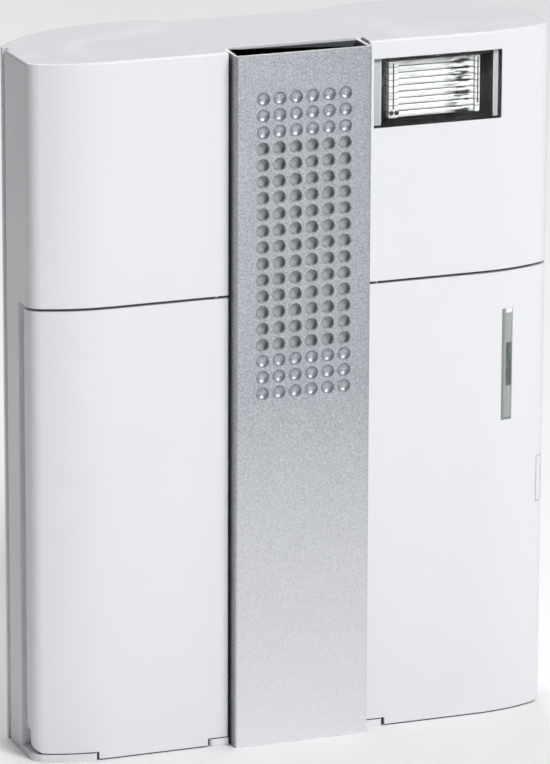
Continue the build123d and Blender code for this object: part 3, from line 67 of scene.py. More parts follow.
class Canvas:
    """A node tree being wired, with short ways to place nodes and join their sockets."""

    def __init__(self, tree: Tree) -> None:
        """Keeps the tree that nodes are added to."""
        self.tree = tree

    def add(self, kind: str, settings: dict | None = None, **values: Value) -> Node:
        """Places a node.

        Args:
            kind: The node's type name.
            settings: Properties of the node itself, such as an operation.
            values: Input sockets to set or join, with underscores for spaces.

        Returns:
            The new node.
        """
        node = self.tree.nodes.new(kind)
        for name, value in (settings or {}).items():
            setattr(node, name, value)
        for name, value in values.items():
            self.feed(node, name.replace("_", " "), value)
        return node

    def feed(self, node: Node, name: str | int, value: Value) -> None:
        """Sets an input socket, or joins it when the value is another socket.

        Args:
            node: The node that takes the value.
            name: The socket's name or place.
            value: A plain value or an output socket.
        """
        socket = node.inputs[name]
        if isinstance(value, Socket):
            self.tree.links.new(value, socket)
        elif isinstance(value, tuple) and len(value) == 3 and socket.type == "RGBA":
            socket.default_value = (*value, 1.0)
        else:
            socket.default_value = value

    def step(self, kind: str, operation: str, values: tuple[Value, ...]) -> Node:
        """Places a node that joins values by one step.

        Args:
            kind: The node's type name.
            operation: The step's name, such as MULTIPLY.
            values: Plain values or output sockets.

        Returns:
            The node.
        """
        node = self.add(kind, {"operation": operation})
        for place, value in enumerate(values):
            self.feed(node, place, value)
        return node

    def maths(self, operation: str, *values: Value) -> Socket:
        """Joins numbers by one step of arithmetic."""
        return self.step("ShaderNodeMath", operation, values).outputs[0]

    def vector(self, operation: str, *values: Value) -> Socket:
        """Joins vectors by one step."""
        return self.step("ShaderNodeVectorMath", operation, values).outputs[0]

    def ramp(self, value: Value, low: float, high: float, start: float = 0.0, end: float = 1.0) -> Socket:
        """Maps a range of values onto another and clamps the result.

        Args:
            value: The socket to map.
            low: Value that gives the start.
            high: Value that gives the end.
            start: Result at the low value.
            end: Result at the high value.

        Returns:
            The mapped value's socket.
        """
        node = self.add("ShaderNodeMapRange")
        for place, number in enumerate((value, low, high, start, end)):
            self.feed(node, place, number)
        return node.outputs[0]

    def mix(self, share: Value, first: Value, second: Value) -> Socket:
        """Mixes two colours.

        Args:
            share: How much of the second colour.
            first: Colour at a share of nothing.
            second: Colour at a full share.

        Returns:
            The mixed colour's socket.
        """
        node = self.add("ShaderNodeMix", {"data_type": "RGBA"})
        for place, value in zip(COLOUR_MIX_INPUTS, (share, first, second)):
            self.feed(node, place, value)
        return node.outputs[COLOUR_MIX_RESULT]

    def place(self) -> Socket:
        """Gives the object's own coordinates."""
        return self.add("ShaderNodeTexCoord").outputs["Object"]

    def axes(self, vector: Socket) -> Sockets:
        """Splits a vector into its three axes."""
        return self.add("ShaderNodeSeparateXYZ", Vector=vector).outputs

    def noise(self, place: Socket, **values: Value) -> Socket:
        """Places a noise pattern."""
        return self.add("ShaderNodeTexNoise", Vector=place, **values).outputs[0]

    def facing(self, kind: str) -> Socket:
        """Gives a direction of the surface, such as its Normal."""
        return self.add("ShaderNodeNewGeometry").outputs[kind]


class Effects:
    """The shared effects, each a node group that is built once.

    Each range gives a pattern's value where its effect starts and where it is full.
    """

    DRIFT: ClassVar[Span] = (0.35, 0.65)
    SMUDGE: ClassVar[Span] = (0.52, 0.72)
    CORNER: ClassVar[Span] = (0.995, 0.85)
    BREAKS: ClassVar[Span] = (0.4, 0.6)
    # Ambient-occlusion values where the painted crevice shade starts and where it is full.
    CREVICE_SHADING: ClassVar[Span] = (0.50, 0.12)

    def __init__(self) -> None:
        """Builds every group."""
        self.grain = self._grain()
        self.rub = self._rub()
        self.crevice = self._crevice()
        self.flake = self._flake()
        self.weave = self._weave()

    @staticmethod
    def _open(name: str, inputs: dict[str, float], *outputs: str) -> tuple[Canvas, dict, Node]:
        """Starts a group with its sockets.

        Args:
            name: The group's name.
            inputs: Input names with their defaults.
            outputs: Output names, of which Normal is a vector.

        Returns:
            The canvas, the input sockets by name, and the group's output node.
        """
        tree = bpy.data.node_groups.new(name, "ShaderNodeTree")
        for title, default in inputs.items():
            socket = tree.interface.new_socket(title, in_out="INPUT", socket_type="NodeSocketFloat")
            socket.default_value = default
        for title in outputs:
            kind = "NodeSocketVector" if title == "Normal" else "NodeSocketFloat"
            tree.interface.new_socket(title, in_out="OUTPUT", socket_type=kind)
        canvas = Canvas(tree)
        inner = canvas.add("NodeGroupInput")
        return canvas, {title: inner.outputs[title] for title in inputs}, canvas.add("NodeGroupOutput")

    def _grain(self) -> Tree:
        """Builds fine spark-eroded grain with slow waves, a slow drift of shade and smudges.

        Returns:
            The group.
        """
        given = {"Grain Scale": 900.0, "Wave Share": 0.3}
        canvas, given, out = self._open("moulded_grain", given, "Height", "Drift", "Smudge")
        place = canvas.place()
        fine = canvas.noise(place, Scale=given["Grain Scale"], Detail=2.0)
        wave = canvas.noise(place, Scale=38.0, Detail=1.0)
        drift = canvas.noise(place, Scale=17.0, Detail=3.0, Roughness=0.6)
        smudge = canvas.noise(place, Scale=55.0, Detail=5.0, Distortion=0.7)
        canvas.feed(out, "Height", canvas.maths("MULTIPLY_ADD", wave, given["Wave Share"], fine))
        canvas.feed(out, "Drift", canvas.ramp(drift, *self.DRIFT))
        canvas.feed(out, "Smudge", canvas.ramp(smudge, *self.SMUDGE))
        return canvas.tree

    def _rub(self) -> Tree:
        """Builds softened corners and the broken line where hands rub them.

        Returns:
            The group.
        """
        canvas, given, out = self._open("corner_rub", {"Radius": 0.3 * MM}, "Mask", "Normal")
        soft = canvas.add("ShaderNodeBevel", {"samples": 6}, Radius=given["Radius"]).outputs[0]
        turn = canvas.step("ShaderNodeVectorMath", "DOT_PRODUCT", (soft, canvas.facing("Normal")))
        edge = canvas.ramp(turn.outputs["Value"], *self.CORNER)
        broken = canvas.ramp(canvas.noise(canvas.place(), Scale=260.0, Detail=3.0), *self.BREAKS)
        canvas.feed(out, "Mask", canvas.maths("MULTIPLY", edge, broken))
        canvas.feed(out, "Normal", soft)
        return canvas.tree

    def _crevice(self) -> Tree:
        """Builds the mask of painted shade, from ambient occlusion, where two faces stand close together.

        Returns:
            The group.
        """
        canvas, given, out = self._open("crevice_shade", {"Reach": 1.2 * MM}, "Mask")
        near = canvas.add("ShaderNodeAmbientOcclusion", {"samples": 8}, Distance=given["Reach"])
        canvas.feed(out, "Mask", canvas.ramp(near.outputs["AO"], *self.CREVICE_SHADING))
        return canvas.tree

    def _flake(self) -> Tree:
        """Builds metal flakes under a lacquer, each with its own tilt and brightness.

        Returns:
            The group.
        """
        given = {"Flake Scale": 1500.0, "Tilt": 0.2}
        canvas, given, out = self._open("metal_flake", given, "Shade", "Normal")
        cells = canvas.add("ShaderNodeTexVoronoi", Vector=canvas.place(), Scale=given["Flake Scale"])
        own = cells.outputs["Color"]
        tilt = canvas.vector("MULTIPLY", canvas.vector("SUBTRACT", own, (0.5, 0.5, 0.5)), given["Tilt"])
        tilted = canvas.vector("NORMALIZE", canvas.vector("ADD", canvas.facing("Normal"), tilt))
        canvas.feed(out, "Normal", tilted)
        canvas.feed(out, "Shade", canvas.add("ShaderNodeSeparateColor", Color=own).outputs[1])
        return canvas.tree

    def _weave(self) -> Tree:
        """Builds the plain weave of an upright cloth, as two crossed bands.

        Returns:
            The group.
        """
        canvas, given, out = self._open("cloth_weave", {"Thread Scale": 420.0}, "Height")
        place, bands = canvas.place(), []
        for direction in ("X", "Z"):
            settings = {"wave_type": "BANDS", "bands_direction": direction}
            wave = canvas.add("ShaderNodeTexWave", settings, Vector=place, Scale=given["Thread Scale"])
            bands.append(wave.outputs[1])
        canvas.feed(out, "Height", canvas.maths("MAXIMUM", *bands))
        return canvas.tree


class Coating(Canvas):
    """The canvas of one material, with its surface shader and the shared effects."""

    def __init__(self, name: str, effects: Effects) -> None:
        """Starts a material.

        Args:
            name: The material's name.
            effects: The shared effects.
        """
        self.material = bpy.data.materials.new(name)
        self.material.use_nodes = True
        super().__init__(self.material.node_tree)
        self.surface = self.tree.nodes["Principled BSDF"]
        self.effects = effects

    def effect(self, group: Tree, **values: Value) -> Sockets:
        """Places a shared effect and gives its outputs."""
        return self.add("ShaderNodeGroup", {"node_tree": group}, **values).outputs

    def paint(self, **values: Value) -> None:
        """Sets or joins the surface's sockets, with underscores for spaces."""
        for name, value in values.items():
            self.feed(self.surface, name.replace("_", " "), value)

    def roughen(self, grain: Sockets, clean: float, smudged: float) -> None:
        """Makes the surface rougher or smoother where it is smudged.

        Args:
            grain: The grain effect's outputs.
            clean: Roughness of the clean surface.
            smudged: Roughness of a full smudge.
        """
        self.paint(Roughness=self.ramp(grain["Smudge"], 0.0, 1.0, clean, smudged))

    def emboss(self, height: Socket, depth: float, strength: float = 1.0, **normal: Socket) -> None:
        """Raises the surface by a pattern's height.

        Args:
            height: The pattern.
            depth: How far its full height stands out.
            strength: How much of it shows.
            normal: The normal that it starts from, where that isn't the surface's own.
        """
        bump = self.add("ShaderNodeBump", Height=height, Distance=depth, Strength=strength, **normal)
        self.paint(Normal=bump.outputs[0])

    def pass_light(self, share: float) -> None:
        """Lets a share of each light through to what lies behind."""
        lit = self.add("ShaderNodeLightPath").outputs["Is Shadow Ray"]
        self.paint(Alpha=self.ramp(lit, 0.0, 1.0, 1.0, 1.0 - share))


@dataclass(frozen=True)
class Finish:
    """What every finish has: a name and the way its material is built."""

    name: str

    def build(self, effects: Effects) -> Material:
        """Builds the material.

        Args:
            effects: The shared effects.

        Returns:
            The material.
        """
        coat = Coating(self.name, effects)
        self.lay(coat)
        return coat.material

    def lay(self, coat: Coating) -> None:
        """Wires the finish on its canvas, each kind in its own way."""
        raise NotImplementedError

    @staticmethod
    def tinted(colour: Colour, factor: float) -> Colour:
        """Makes a colour darker or lighter by a factor."""
        return tuple(min(1.0, part * factor) for part in colour)


@dataclass(frozen=True)
class MouldedPlastic(Finish):
    """Moulded plastic with its grain, a faint drift of shade, smudges, rubbed corners and painted shade in
    its crevices.
    """

    colour: Colour
    shade: Colour
    rubbed: Colour
    roughness: float = 0.34
    roughness_spread: float = 0.10
    grain_scale: float = 1400.0
    grain_depth: float = 0.012 * MM
    grain_strength: float = 0.5
    corner: float = 0.35 * MM
    rub_share: float = 0.25
    # Colour that crevices are darkened towards: painted shade.
    crevice_shade_colour: Colour = (0.02, 0.022, 0.025)
    bend: float = 1.5

    def lay(self, coat: Coating) -> None:
        """Wires the plastic.

        Args:
            coat: The material's canvas.
        """
        grain = coat.effect(coat.effects.grain, Grain_Scale=self.grain_scale)
        rub = coat.effect(coat.effects.rub, Radius=self.corner)
        crevice = coat.effect(coat.effects.crevice)
        body = coat.mix(grain["Drift"], self.colour, self.shade)
        handled = coat.mix(coat.maths("MULTIPLY", rub["Mask"], self.rub_share), body, self.rubbed)
        # Crevices are darkened by ambient occlusion: painted shade.
        coat.paint(Base_Color=coat.mix(crevice["Mask"], handled, self.crevice_shade_colour), IOR=self.bend)
        coat.roughen(grain, self.roughness, self.roughness + self.roughness_spread)
        coat.emboss(grain["Height"], self.grain_depth, self.grain_strength, Normal=rub["Normal"])


@dataclass(frozen=True)
class FlakePaint(Finish):
    """Silver paint with metal flakes under a thin lacquer, with a painted reflection of the bright floor
    that makes its front lighter towards the foot.
    """

    colour: Colour
    bright: Colour
    edge: Colour = (0.13, 0.14, 0.15)
    # Near-white colour of the painted floor reflection on the front faces near the foot.
    foot: Colour = (0.97, 0.975, 0.985)
    # Near-white painted highlight on faces that look upwards.
    painted_upward_highlight: Colour = (0.95, 0.95, 0.96)
    roughness: float = 0.42
    smudged: float = 0.50
    flake_scale: float = 4200.0
    tilt: float = 0.16
    grain_scale: float = 700.0
    corner: float = 0.2 * MM
    edge_share: float = 0.75
    coat: float = 0.1
    coat_roughness: float = 0.3
    metallic: float = 0.7
    # Height above which there is no painted floor reflection, and its share at the foot.
    floor_reflection_height: float = 95.0 * MM
    floor_reflection_strength: float = 0.72
    front_facing: Span = (-0.3, -0.8)
    top_facing: Span = (0.90, 0.97)

    def lay(self, coat: Coating) -> None:
        """Wires the paint, with darker corners and a painted highlight on the faces that look upwards at the
        strip's top.

        Args:
            coat: The material's canvas.
        """
        flake = coat.effect(coat.effects.flake, Flake_Scale=self.flake_scale, Tilt=self.tilt)
        grain = coat.effect(coat.effects.grain, Grain_Scale=self.grain_scale)
        rub = coat.effect(coat.effects.rub, Radius=self.corner)
        glint = coat.mix(flake["Shade"], self.colour, self.bright)
        # Painted reflection of the bright floor: front faces lighter towards the foot.
        floor_reflection = coat.ramp(coat.axes(coat.place())[2], self.floor_reflection_height, 0.0, 0.0, self.floor_reflection_strength)
        facing = coat.axes(coat.facing("True Normal"))
        front_floor_reflection = coat.maths("MULTIPLY", floor_reflection, coat.ramp(facing[1], *self.front_facing))
        floor_reflected = coat.mix(front_floor_reflection, glint, self.foot)
        shaded = coat.mix(coat.maths("MULTIPLY", rub["Mask"], self.edge_share), floor_reflected, self.edge)
        # Faces that look upwards take the painted highlight.
        coat.paint(
            Base_Color=coat.mix(coat.ramp(facing[2], *self.top_facing), shaded, self.painted_upward_highlight),
            Normal=flake["Normal"],
            Metallic=self.metallic,
            Coat_Weight=self.coat,
            Coat_Roughness=self.coat_roughness,
        )
        coat.roughen(grain, self.roughness, self.smudged)


@dataclass(frozen=True)
class ClearPlastic(Finish):
    """Clear or tinted see-through plastic with faint moulding waves."""

    colour: Colour
    drift: float = 0.97
    roughness: float = 0.03
    roughness_spread: float = 0.03
    grain_scale: float = 160.0
    wave_depth: float = 0.01 * MM
    wave_strength: float = 0.3
    transmission: float = 1.0
    bend: float = 1.49
    light_passed: float = 0.9

    def lay(self, coat: Coating) -> None:
        """Wires the plastic.

        Args:
            coat: The material's canvas.
        """
        grain = coat.effect(coat.effects.grain, Grain_Scale=self.grain_scale)
        coat.paint(
            Base_Color=coat.mix(grain["Drift"], self.colour, self.tinted(self.colour, self.drift)),
            Transmission_Weight=self.transmission,
            IOR=self.bend,
        )
        coat.roughen(grain, self.roughness, self.roughness + self.roughness_spread)
        coat.emboss(grain["Height"], self.wave_depth, self.wave_strength)
        coat.pass_light(self.light_passed)


@dataclass(frozen=True)
class LensPlastic(Finish):
    """Ribbed diffuser: bright body, a fine line between ribs and dark streaks near one end."""

    body: Colour = (0.90, 0.905, 0.91)
    line: Colour = (0.22, 0.23, 0.24)
    streak: Colour = (0.015, 0.017, 0.02)
    pitch: float = 1.611 * MM
    first: float = 161.35 * MM
    line_start: float = 0.36
    line_full: float = 0.47
    line_share: float = 0.8
    faint_share: float = 0.35
    streak_start: float = 40.0 * MM
    streak_full: float = 43.5 * MM
    streak_fade: float = 46.4 * MM
    streak_end: float = 47.6 * MM
    streak_stretch: tuple[float, float, float] = (0.16, 0.3, 1.0)
    streak_scale: float = 1300.0
    streak_noise: Span = (0.44, 0.54)
    faint_noise: Span = (0.5, 0.68)
    roughness: float = 0.1
    smudged: float = 0.2
    grain_depth: float = 0.02 * MM
    transmission: float = 0.15
    light_passed: float = 0.6

    def lay(self, coat: Coating) -> None:
        """Wires the diffuser's lines by height and its streaks by their place across.

        Args:
            coat: The material's canvas.
        """
        place = coat.place()
        axes = coat.axes(place)
        along = coat.maths("FLOORED_MODULO", coat.maths("SUBTRACT", axes[2], self.first), self.pitch)
        off_middle = coat.maths("ABSOLUTE", coat.maths("SUBTRACT", along, self.pitch / 2))
        line = coat.ramp(off_middle, self.pitch * self.line_start, self.pitch * self.line_full)
        stretched = coat.vector("MULTIPLY", place, self.streak_stretch)
        noise = coat.noise(stretched, Scale=self.streak_scale, Detail=3.0)
        near = coat.ramp(axes[0], self.streak_start, self.streak_full)
        far = coat.ramp(axes[0], self.streak_end, self.streak_fade)
        between = coat.maths("MULTIPLY", near, far)
        streak = coat.maths("MULTIPLY", between, coat.ramp(noise, *self.streak_noise))
        faint = coat.maths("MULTIPLY", coat.ramp(noise, *self.faint_noise), self.faint_share)
        body = coat.mix(faint, self.body, self.line)
        ribbed = coat.mix(coat.maths("MULTIPLY", line, self.line_share), body, self.line)
        coat.paint(Base_Color=coat.mix(streak, ribbed, self.streak), Transmission_Weight=self.transmission)
        grain = coat.effect(coat.effects.grain)
        coat.roughen(grain, self.roughness, self.smudged)
        coat.emboss(grain["Height"], self.grain_depth)
        coat.pass_light(self.light_passed)


@dataclass(frozen=True)
class LightPipe(Finish):
    """Translucent bar with a darker core showing through, painted shade along its walls and foot, and a
    painted highlight along its top.
    """

    body: Colour = (0.36, 0.395, 0.385)
    # Darker tone of the veins, and of the painted shade along the bar's walls and foot.
    rim: Colour = (0.18, 0.205, 0.20)
    core: Colour = (0.075, 0.095, 0.09)
    # Colour of the painted highlight along the bar's top.
    painted_top_highlight: Colour = (0.95, 0.96, 0.96)
    middle: tuple[float, float, float] = (58.0 * MM, 0.0, 94.2 * MM)
    core_half: Span = (1.0 * MM, 5.9 * MM)
    core_fade: float = 0.3 * MM
    mottle_stretch: tuple[float, float, float] = (1.0, 1.0, 0.3)
    mottle_scale: float = 900.0
    mottle_noise: Span = (0.25, 0.5)
    mottle_depth: Span = (0.65, 1.0)
    vein_stretch: tuple[float, float, float] = (1.0, 1.0, 0.03)
    vein_scale: float = 2400.0
    vein_noise: Span = (0.4, 0.65)
    bar_half: Span = (1.5 * MM, 14.8 * MM)
    wall_fade: Span = (0.45 * MM, 0.1 * MM)
    foot_fade: Span = (0.9 * MM, 0.4 * MM)
    top_fade: Span = (1.3 * MM, 0.8 * MM)
    vein_share: float = 0.45
    edge_shade_share: float = 0.7
    roughness: float = 0.18
    smudged: float = 0.28
    grain_depth: float = 0.01 * MM
    coat: float = 0.3

    def lay(self, coat: Coating) -> None:
        """Wires the bar's core, walls, foot and top by their distance from its middle.

        Args:
            coat: The material's canvas.
        """
        place = coat.place()
        axes = coat.axes(coat.vector("SUBTRACT", place, self.middle))
        off_x, off_z = (coat.maths("ABSOLUTE", axes[side]) for side in (0, 2))
        core_x, core_z = self.core_half
        in_x = coat.ramp(off_x, core_x, core_x - self.core_fade)
        in_z = coat.ramp(off_z, core_z, core_z - self.core_fade)
        mottled = coat.noise(coat.vector("MULTIPLY", place, self.mottle_stretch), Scale=self.mottle_scale)
        veins = coat.noise(coat.vector("MULTIPLY", place, self.vein_stretch), Scale=self.vein_scale)
        inside = coat.maths("MULTIPLY", in_x, in_z)
        deep = coat.maths("MULTIPLY", inside, coat.ramp(mottled, *self.mottle_noise, *self.mottle_depth))
        body = coat.mix(coat.ramp(veins, *self.vein_noise, 0.0, self.vein_share), self.body, self.rim)
        half_x, half_z = self.bar_half
        wall, foot, top = (
            coat.ramp(off, half - fade[0], half - fade[1])
            for off, half, fade in (
                (off_x, half_x, self.wall_fade),
                (coat.maths("MULTIPLY", axes[2], -1.0), half_z, self.foot_fade),
                (axes[2], half_z, self.top_fade),
            )
        )
        # Painted shade along the bar's walls and at its foot.
        rim = coat.maths("MULTIPLY", coat.maths("MAXIMUM", wall, foot), self.edge_shade_share)
        cored = coat.mix(deep, coat.mix(rim, body, self.rim), self.core)
        # Painted highlight along the bar's top.
        painted_top_highlight = coat.maths("MULTIPLY", top, in_x)
        coat.paint(Base_Color=coat.mix(painted_top_highlight, cored, self.painted_top_highlight), Coat_Weight=self.coat)
        grain = coat.effect(coat.effects.grain)
        coat.roughen(grain, self.roughness, self.smudged)
        coat.emboss(grain["Height"], self.grain_depth)


@dataclass(frozen=True)
class WorkedMetal(Finish):
    """Plated or pressed metal with fine drawing lines, stains and bright corners."""

    colour: Colour
    stain: Colour
    roughness: float = 0.3
    roughness_spread: float = 0.15
    corner: float = 0.15 * MM
    corner_gain: float = 1.3
    grain_scale: float = 2200.0
    wave_share: float = 0.1
    grain_depth: float = 0.01 * MM
    grain_strength: float = 0.4

    def lay(self, coat: Coating) -> None:
        """Wires the metal.

        Args:
            coat: The material's canvas.
        """
        grain = coat.effect(coat.effects.grain, Grain_Scale=self.grain_scale, Wave_Share=self.wave_share)
        rub = coat.effect(coat.effects.rub, Radius=self.corner)
        body = coat.mix(grain["Drift"], self.colour, self.stain)
        bright = self.tinted(self.colour, self.corner_gain)
        coat.paint(Base_Color=coat.mix(rub["Mask"], body, bright), Metallic=1.0)
        coat.roughen(grain, self.roughness, self.roughness + self.roughness_spread)
        coat.emboss(grain["Height"], self.grain_depth, self.grain_strength, Normal=rub["Normal"])


@dataclass(frozen=True)
class SpeakerCloth(Finish):
    """Thin acoustic cloth in a plain weave."""

    colour: Colour
    thread: Colour
    thread_scale: float = 900.0
    thread_height: float = 0.1 * MM
    roughness: float = 0.75
    smudged: float = 0.9

    def lay(self, coat: Coating) -> None:
        """Wires the cloth.

        Args:
            coat: The material's canvas.
        """
        weave = coat.effect(coat.effects.weave, Thread_Scale=self.thread_scale)
        coat.paint(Base_Color=coat.mix(weave[0], self.colour, self.thread))
        coat.roughen(coat.effect(coat.effects.grain), self.roughness, self.smudged)
        coat.emboss(weave[0], self.thread_height)


@dataclass(frozen=True)
class BoardLacquer(Finish):
    """Circuit board: green lacquer with the tracks showing through as a step in shade."""

    lacquer: Colour
    track: Colour
    track_scale: float = 260.0
    track_height: float = 0.03 * MM
    track_edge: Span = (0.10, 0.06)
    roughness: float = 0.25
    smudged: float = 0.4
    corner: float = 0.1 * MM

    def lay(self, coat: Coating) -> None:
        """Wires the lacquer.

        Args:
            coat: The material's canvas.
        """
        settings = {"feature": "DISTANCE_TO_EDGE"}
        cells = coat.add("ShaderNodeTexVoronoi", settings, Vector=coat.place(), Scale=self.track_scale)
        track = coat.ramp(cells.outputs["Distance"], *self.track_edge)
        rub = coat.effect(coat.effects.rub, Radius=self.corner)
        coat.paint(Base_Color=coat.mix(track, self.lacquer, self.track))
        coat.roughen(coat.effect(coat.effects.grain), self.roughness, self.smudged)
        coat.emboss(track, self.track_height, Normal=rub["Normal"])


@dataclass(frozen=True)
class CellColumns:
    """How the cells stand: two in each column, the middle column the other way up."""

    column_pitch: float = 14.6 * MM
    cell_pitch: float = 50.4 * MM
    upright_base: float = 12.3 * MM
    turned_base: float = 107.1 * MM
    turned_x: float = -43.2 * MM


CELLS = CellColumns()


@dataclass(frozen=True)
class CellSleeve(Finish):
    """Plain two-tone sleeve of a dry cell, banded near one end of each cell."""

    body: Colour
    band: Colour
    metal: Colour
    band_span: Span = (34.0 * MM, 34.3 * MM)
    bare_span: Span = (48.3 * MM, 48.4 * MM)
    sleeve_metallic: float = 0.35
    roughness: float = 0.22
    smudged: float = 0.38
    grain_depth: float = 0.01 * MM

    def lay(self, coat: Coating) -> None:
        """Wires the sleeves by each point's height above its own cell's base.

        Args:
            coat: The material's canvas.
        """
        axes = coat.axes(coat.place())
        upright, turned = (
            coat.maths("FLOORED_MODULO", coat.maths("SUBTRACT", *pair), CELLS.cell_pitch)
            for pair in ((axes[2], CELLS.upright_base), (CELLS.turned_base, axes[2]))
        )
        off_column = coat.maths("ABSOLUTE", coat.maths("SUBTRACT", axes[0], CELLS.turned_x))
        is_turned = coat.maths("LESS_THAN", off_column, CELLS.column_pitch / 2)
        along = coat.maths("MULTIPLY_ADD", is_turned, coat.maths("SUBTRACT", turned, upright), upright)
        bare = coat.ramp(along, *self.bare_span)
        sleeve = coat.mix(coat.ramp(along, *self.band_span), self.body, self.band)
        coat.paint(
            Base_Color=coat.mix(bare, sleeve, self.metal),
            Metallic=coat.ramp(bare, 0.0, 1.0, self.sleeve_metallic, 1.0),
        )
        grain = coat.effect(coat.effects.grain)
        coat.roughen(grain, self.roughness, self.smudged)
        coat.emboss(grain["Height"], self.grain_depth)


WHITE_CASE = MouldedPlastic("white_case", (0.80, 0.805, 0.83), (0.78, 0.79, 0.815), (0.86, 0.86, 0.87))
INNER_WHITE = MouldedPlastic(
    "inner_white", (0.72, 0.73, 0.75), (0.69, 0.70, 0.72), (0.8, 0.8, 0.8), roughness=0.5
)
CONTROL_GREY = MouldedPlastic(
    "control_grey", (0.16, 0.165, 0.175), (0.14, 0.145, 0.155), (0.3, 0.3, 0.3), roughness=0.45
)
INNER_DARK = MouldedPlastic(
    "inner_dark", (0.012, 0.014, 0.015), (0.018, 0.02, 0.021), (0.05, 0.05, 0.05), roughness=0.45
)
SOFT_BLACK = MouldedPlastic(
    "soft_black", (0.02, 0.02, 0.02), (0.028, 0.027, 0.026), (0.06, 0.06, 0.06), roughness=0.7
)
CONE_PAPER = MouldedPlastic(
    "cone_paper",
    (0.03, 0.03, 0.03),
    (0.04, 0.039, 0.037),
    (0.07, 0.07, 0.07),
    roughness=0.85,
    grain_depth=0.05 * MM,
)
COIL_BROWN = MouldedPlastic(
    "coil_brown", (0.10, 0.045, 0.02), (0.13, 0.06, 0.03), (0.2, 0.12, 0.07), roughness=0.4
)
CAN_SLEEVE = MouldedPlastic(
    "can_sleeve", (0.02, 0.025, 0.05), (0.025, 0.03, 0.06), (0.08, 0.08, 0.1), roughness=0.3
)
# Near-white bars inside the window's side edges: painted highlight of the edges.
EDGE_HIGHLIGHT_WHITE = MouldedPlastic(
    "window_edge_highlight",
    (0.90, 0.905, 0.91),
    (0.86, 0.865, 0.87),
    (0.95, 0.95, 0.95),
    roughness=0.25,
    crevice_shade_colour=(0.84, 0.845, 0.85),
)
PRINT_GREY = MouldedPlastic(
    "print_grey", (0.10, 0.105, 0.11), (0.13, 0.135, 0.14), (0.2, 0.2, 0.2), roughness=0.6
)
FLOOR_PAPER = MouldedPlastic(
    "floor_paper", (0.955, 0.955, 0.96), (0.95, 0.95, 0.955), (0.95, 0.95, 0.95), roughness=0.8
)
SILVER_STRIP = FlakePaint("silver_strip", (0.29, 0.305, 0.335), (0.53, 0.545, 0.58))
CLEAR_WINDOW = ClearPlastic("clear_window", (0.97, 0.98, 0.98), bend=1.25)
RIBBED_LENS = ClearPlastic("ribbed_lens", (0.96, 0.97, 0.98), roughness=0.12, transmission=0.8)
TUBE_GLASS = ClearPlastic("tube_glass", (0.95, 0.96, 0.98), roughness=0.02)
FLASH_LENS = LensPlastic("flash_lens_plastic")
PALE_BAR = LightPipe("pale_bar")
PLATED_STEEL = WorkedMetal("plated_steel", (0.62, 0.62, 0.60), (0.52, 0.51, 0.48))
SHEET_STEEL = WorkedMetal("sheet_steel", (0.48, 0.49, 0.50), (0.40, 0.40, 0.40), roughness=0.38)
MAGNET_GREY = WorkedMetal("magnet_grey", (0.10, 0.10, 0.105), (0.07, 0.07, 0.07), roughness=0.6)
MIRROR_SHEET = WorkedMetal("mirror_sheet", (0.86, 0.87, 0.88), (0.80, 0.81, 0.82), roughness=0.12)
SLATE_CLOTH = SpeakerCloth("slate_cloth", (0.045, 0.054, 0.064), (0.11, 0.125, 0.14))
GREY_GAUZE = SpeakerCloth("grey_gauze", (0.38, 0.395, 0.41), (0.62, 0.64, 0.66), thread_scale=1300.0)
GREEN_BOARD = BoardLacquer("green_board", (0.01, 0.10, 0.03), (0.03, 0.22, 0.07))
DRY_CELL = CellSleeve("dry_cell", (0.42, 0.43, 0.44), (0.10, 0.13, 0.17), (0.6, 0.6, 0.58))


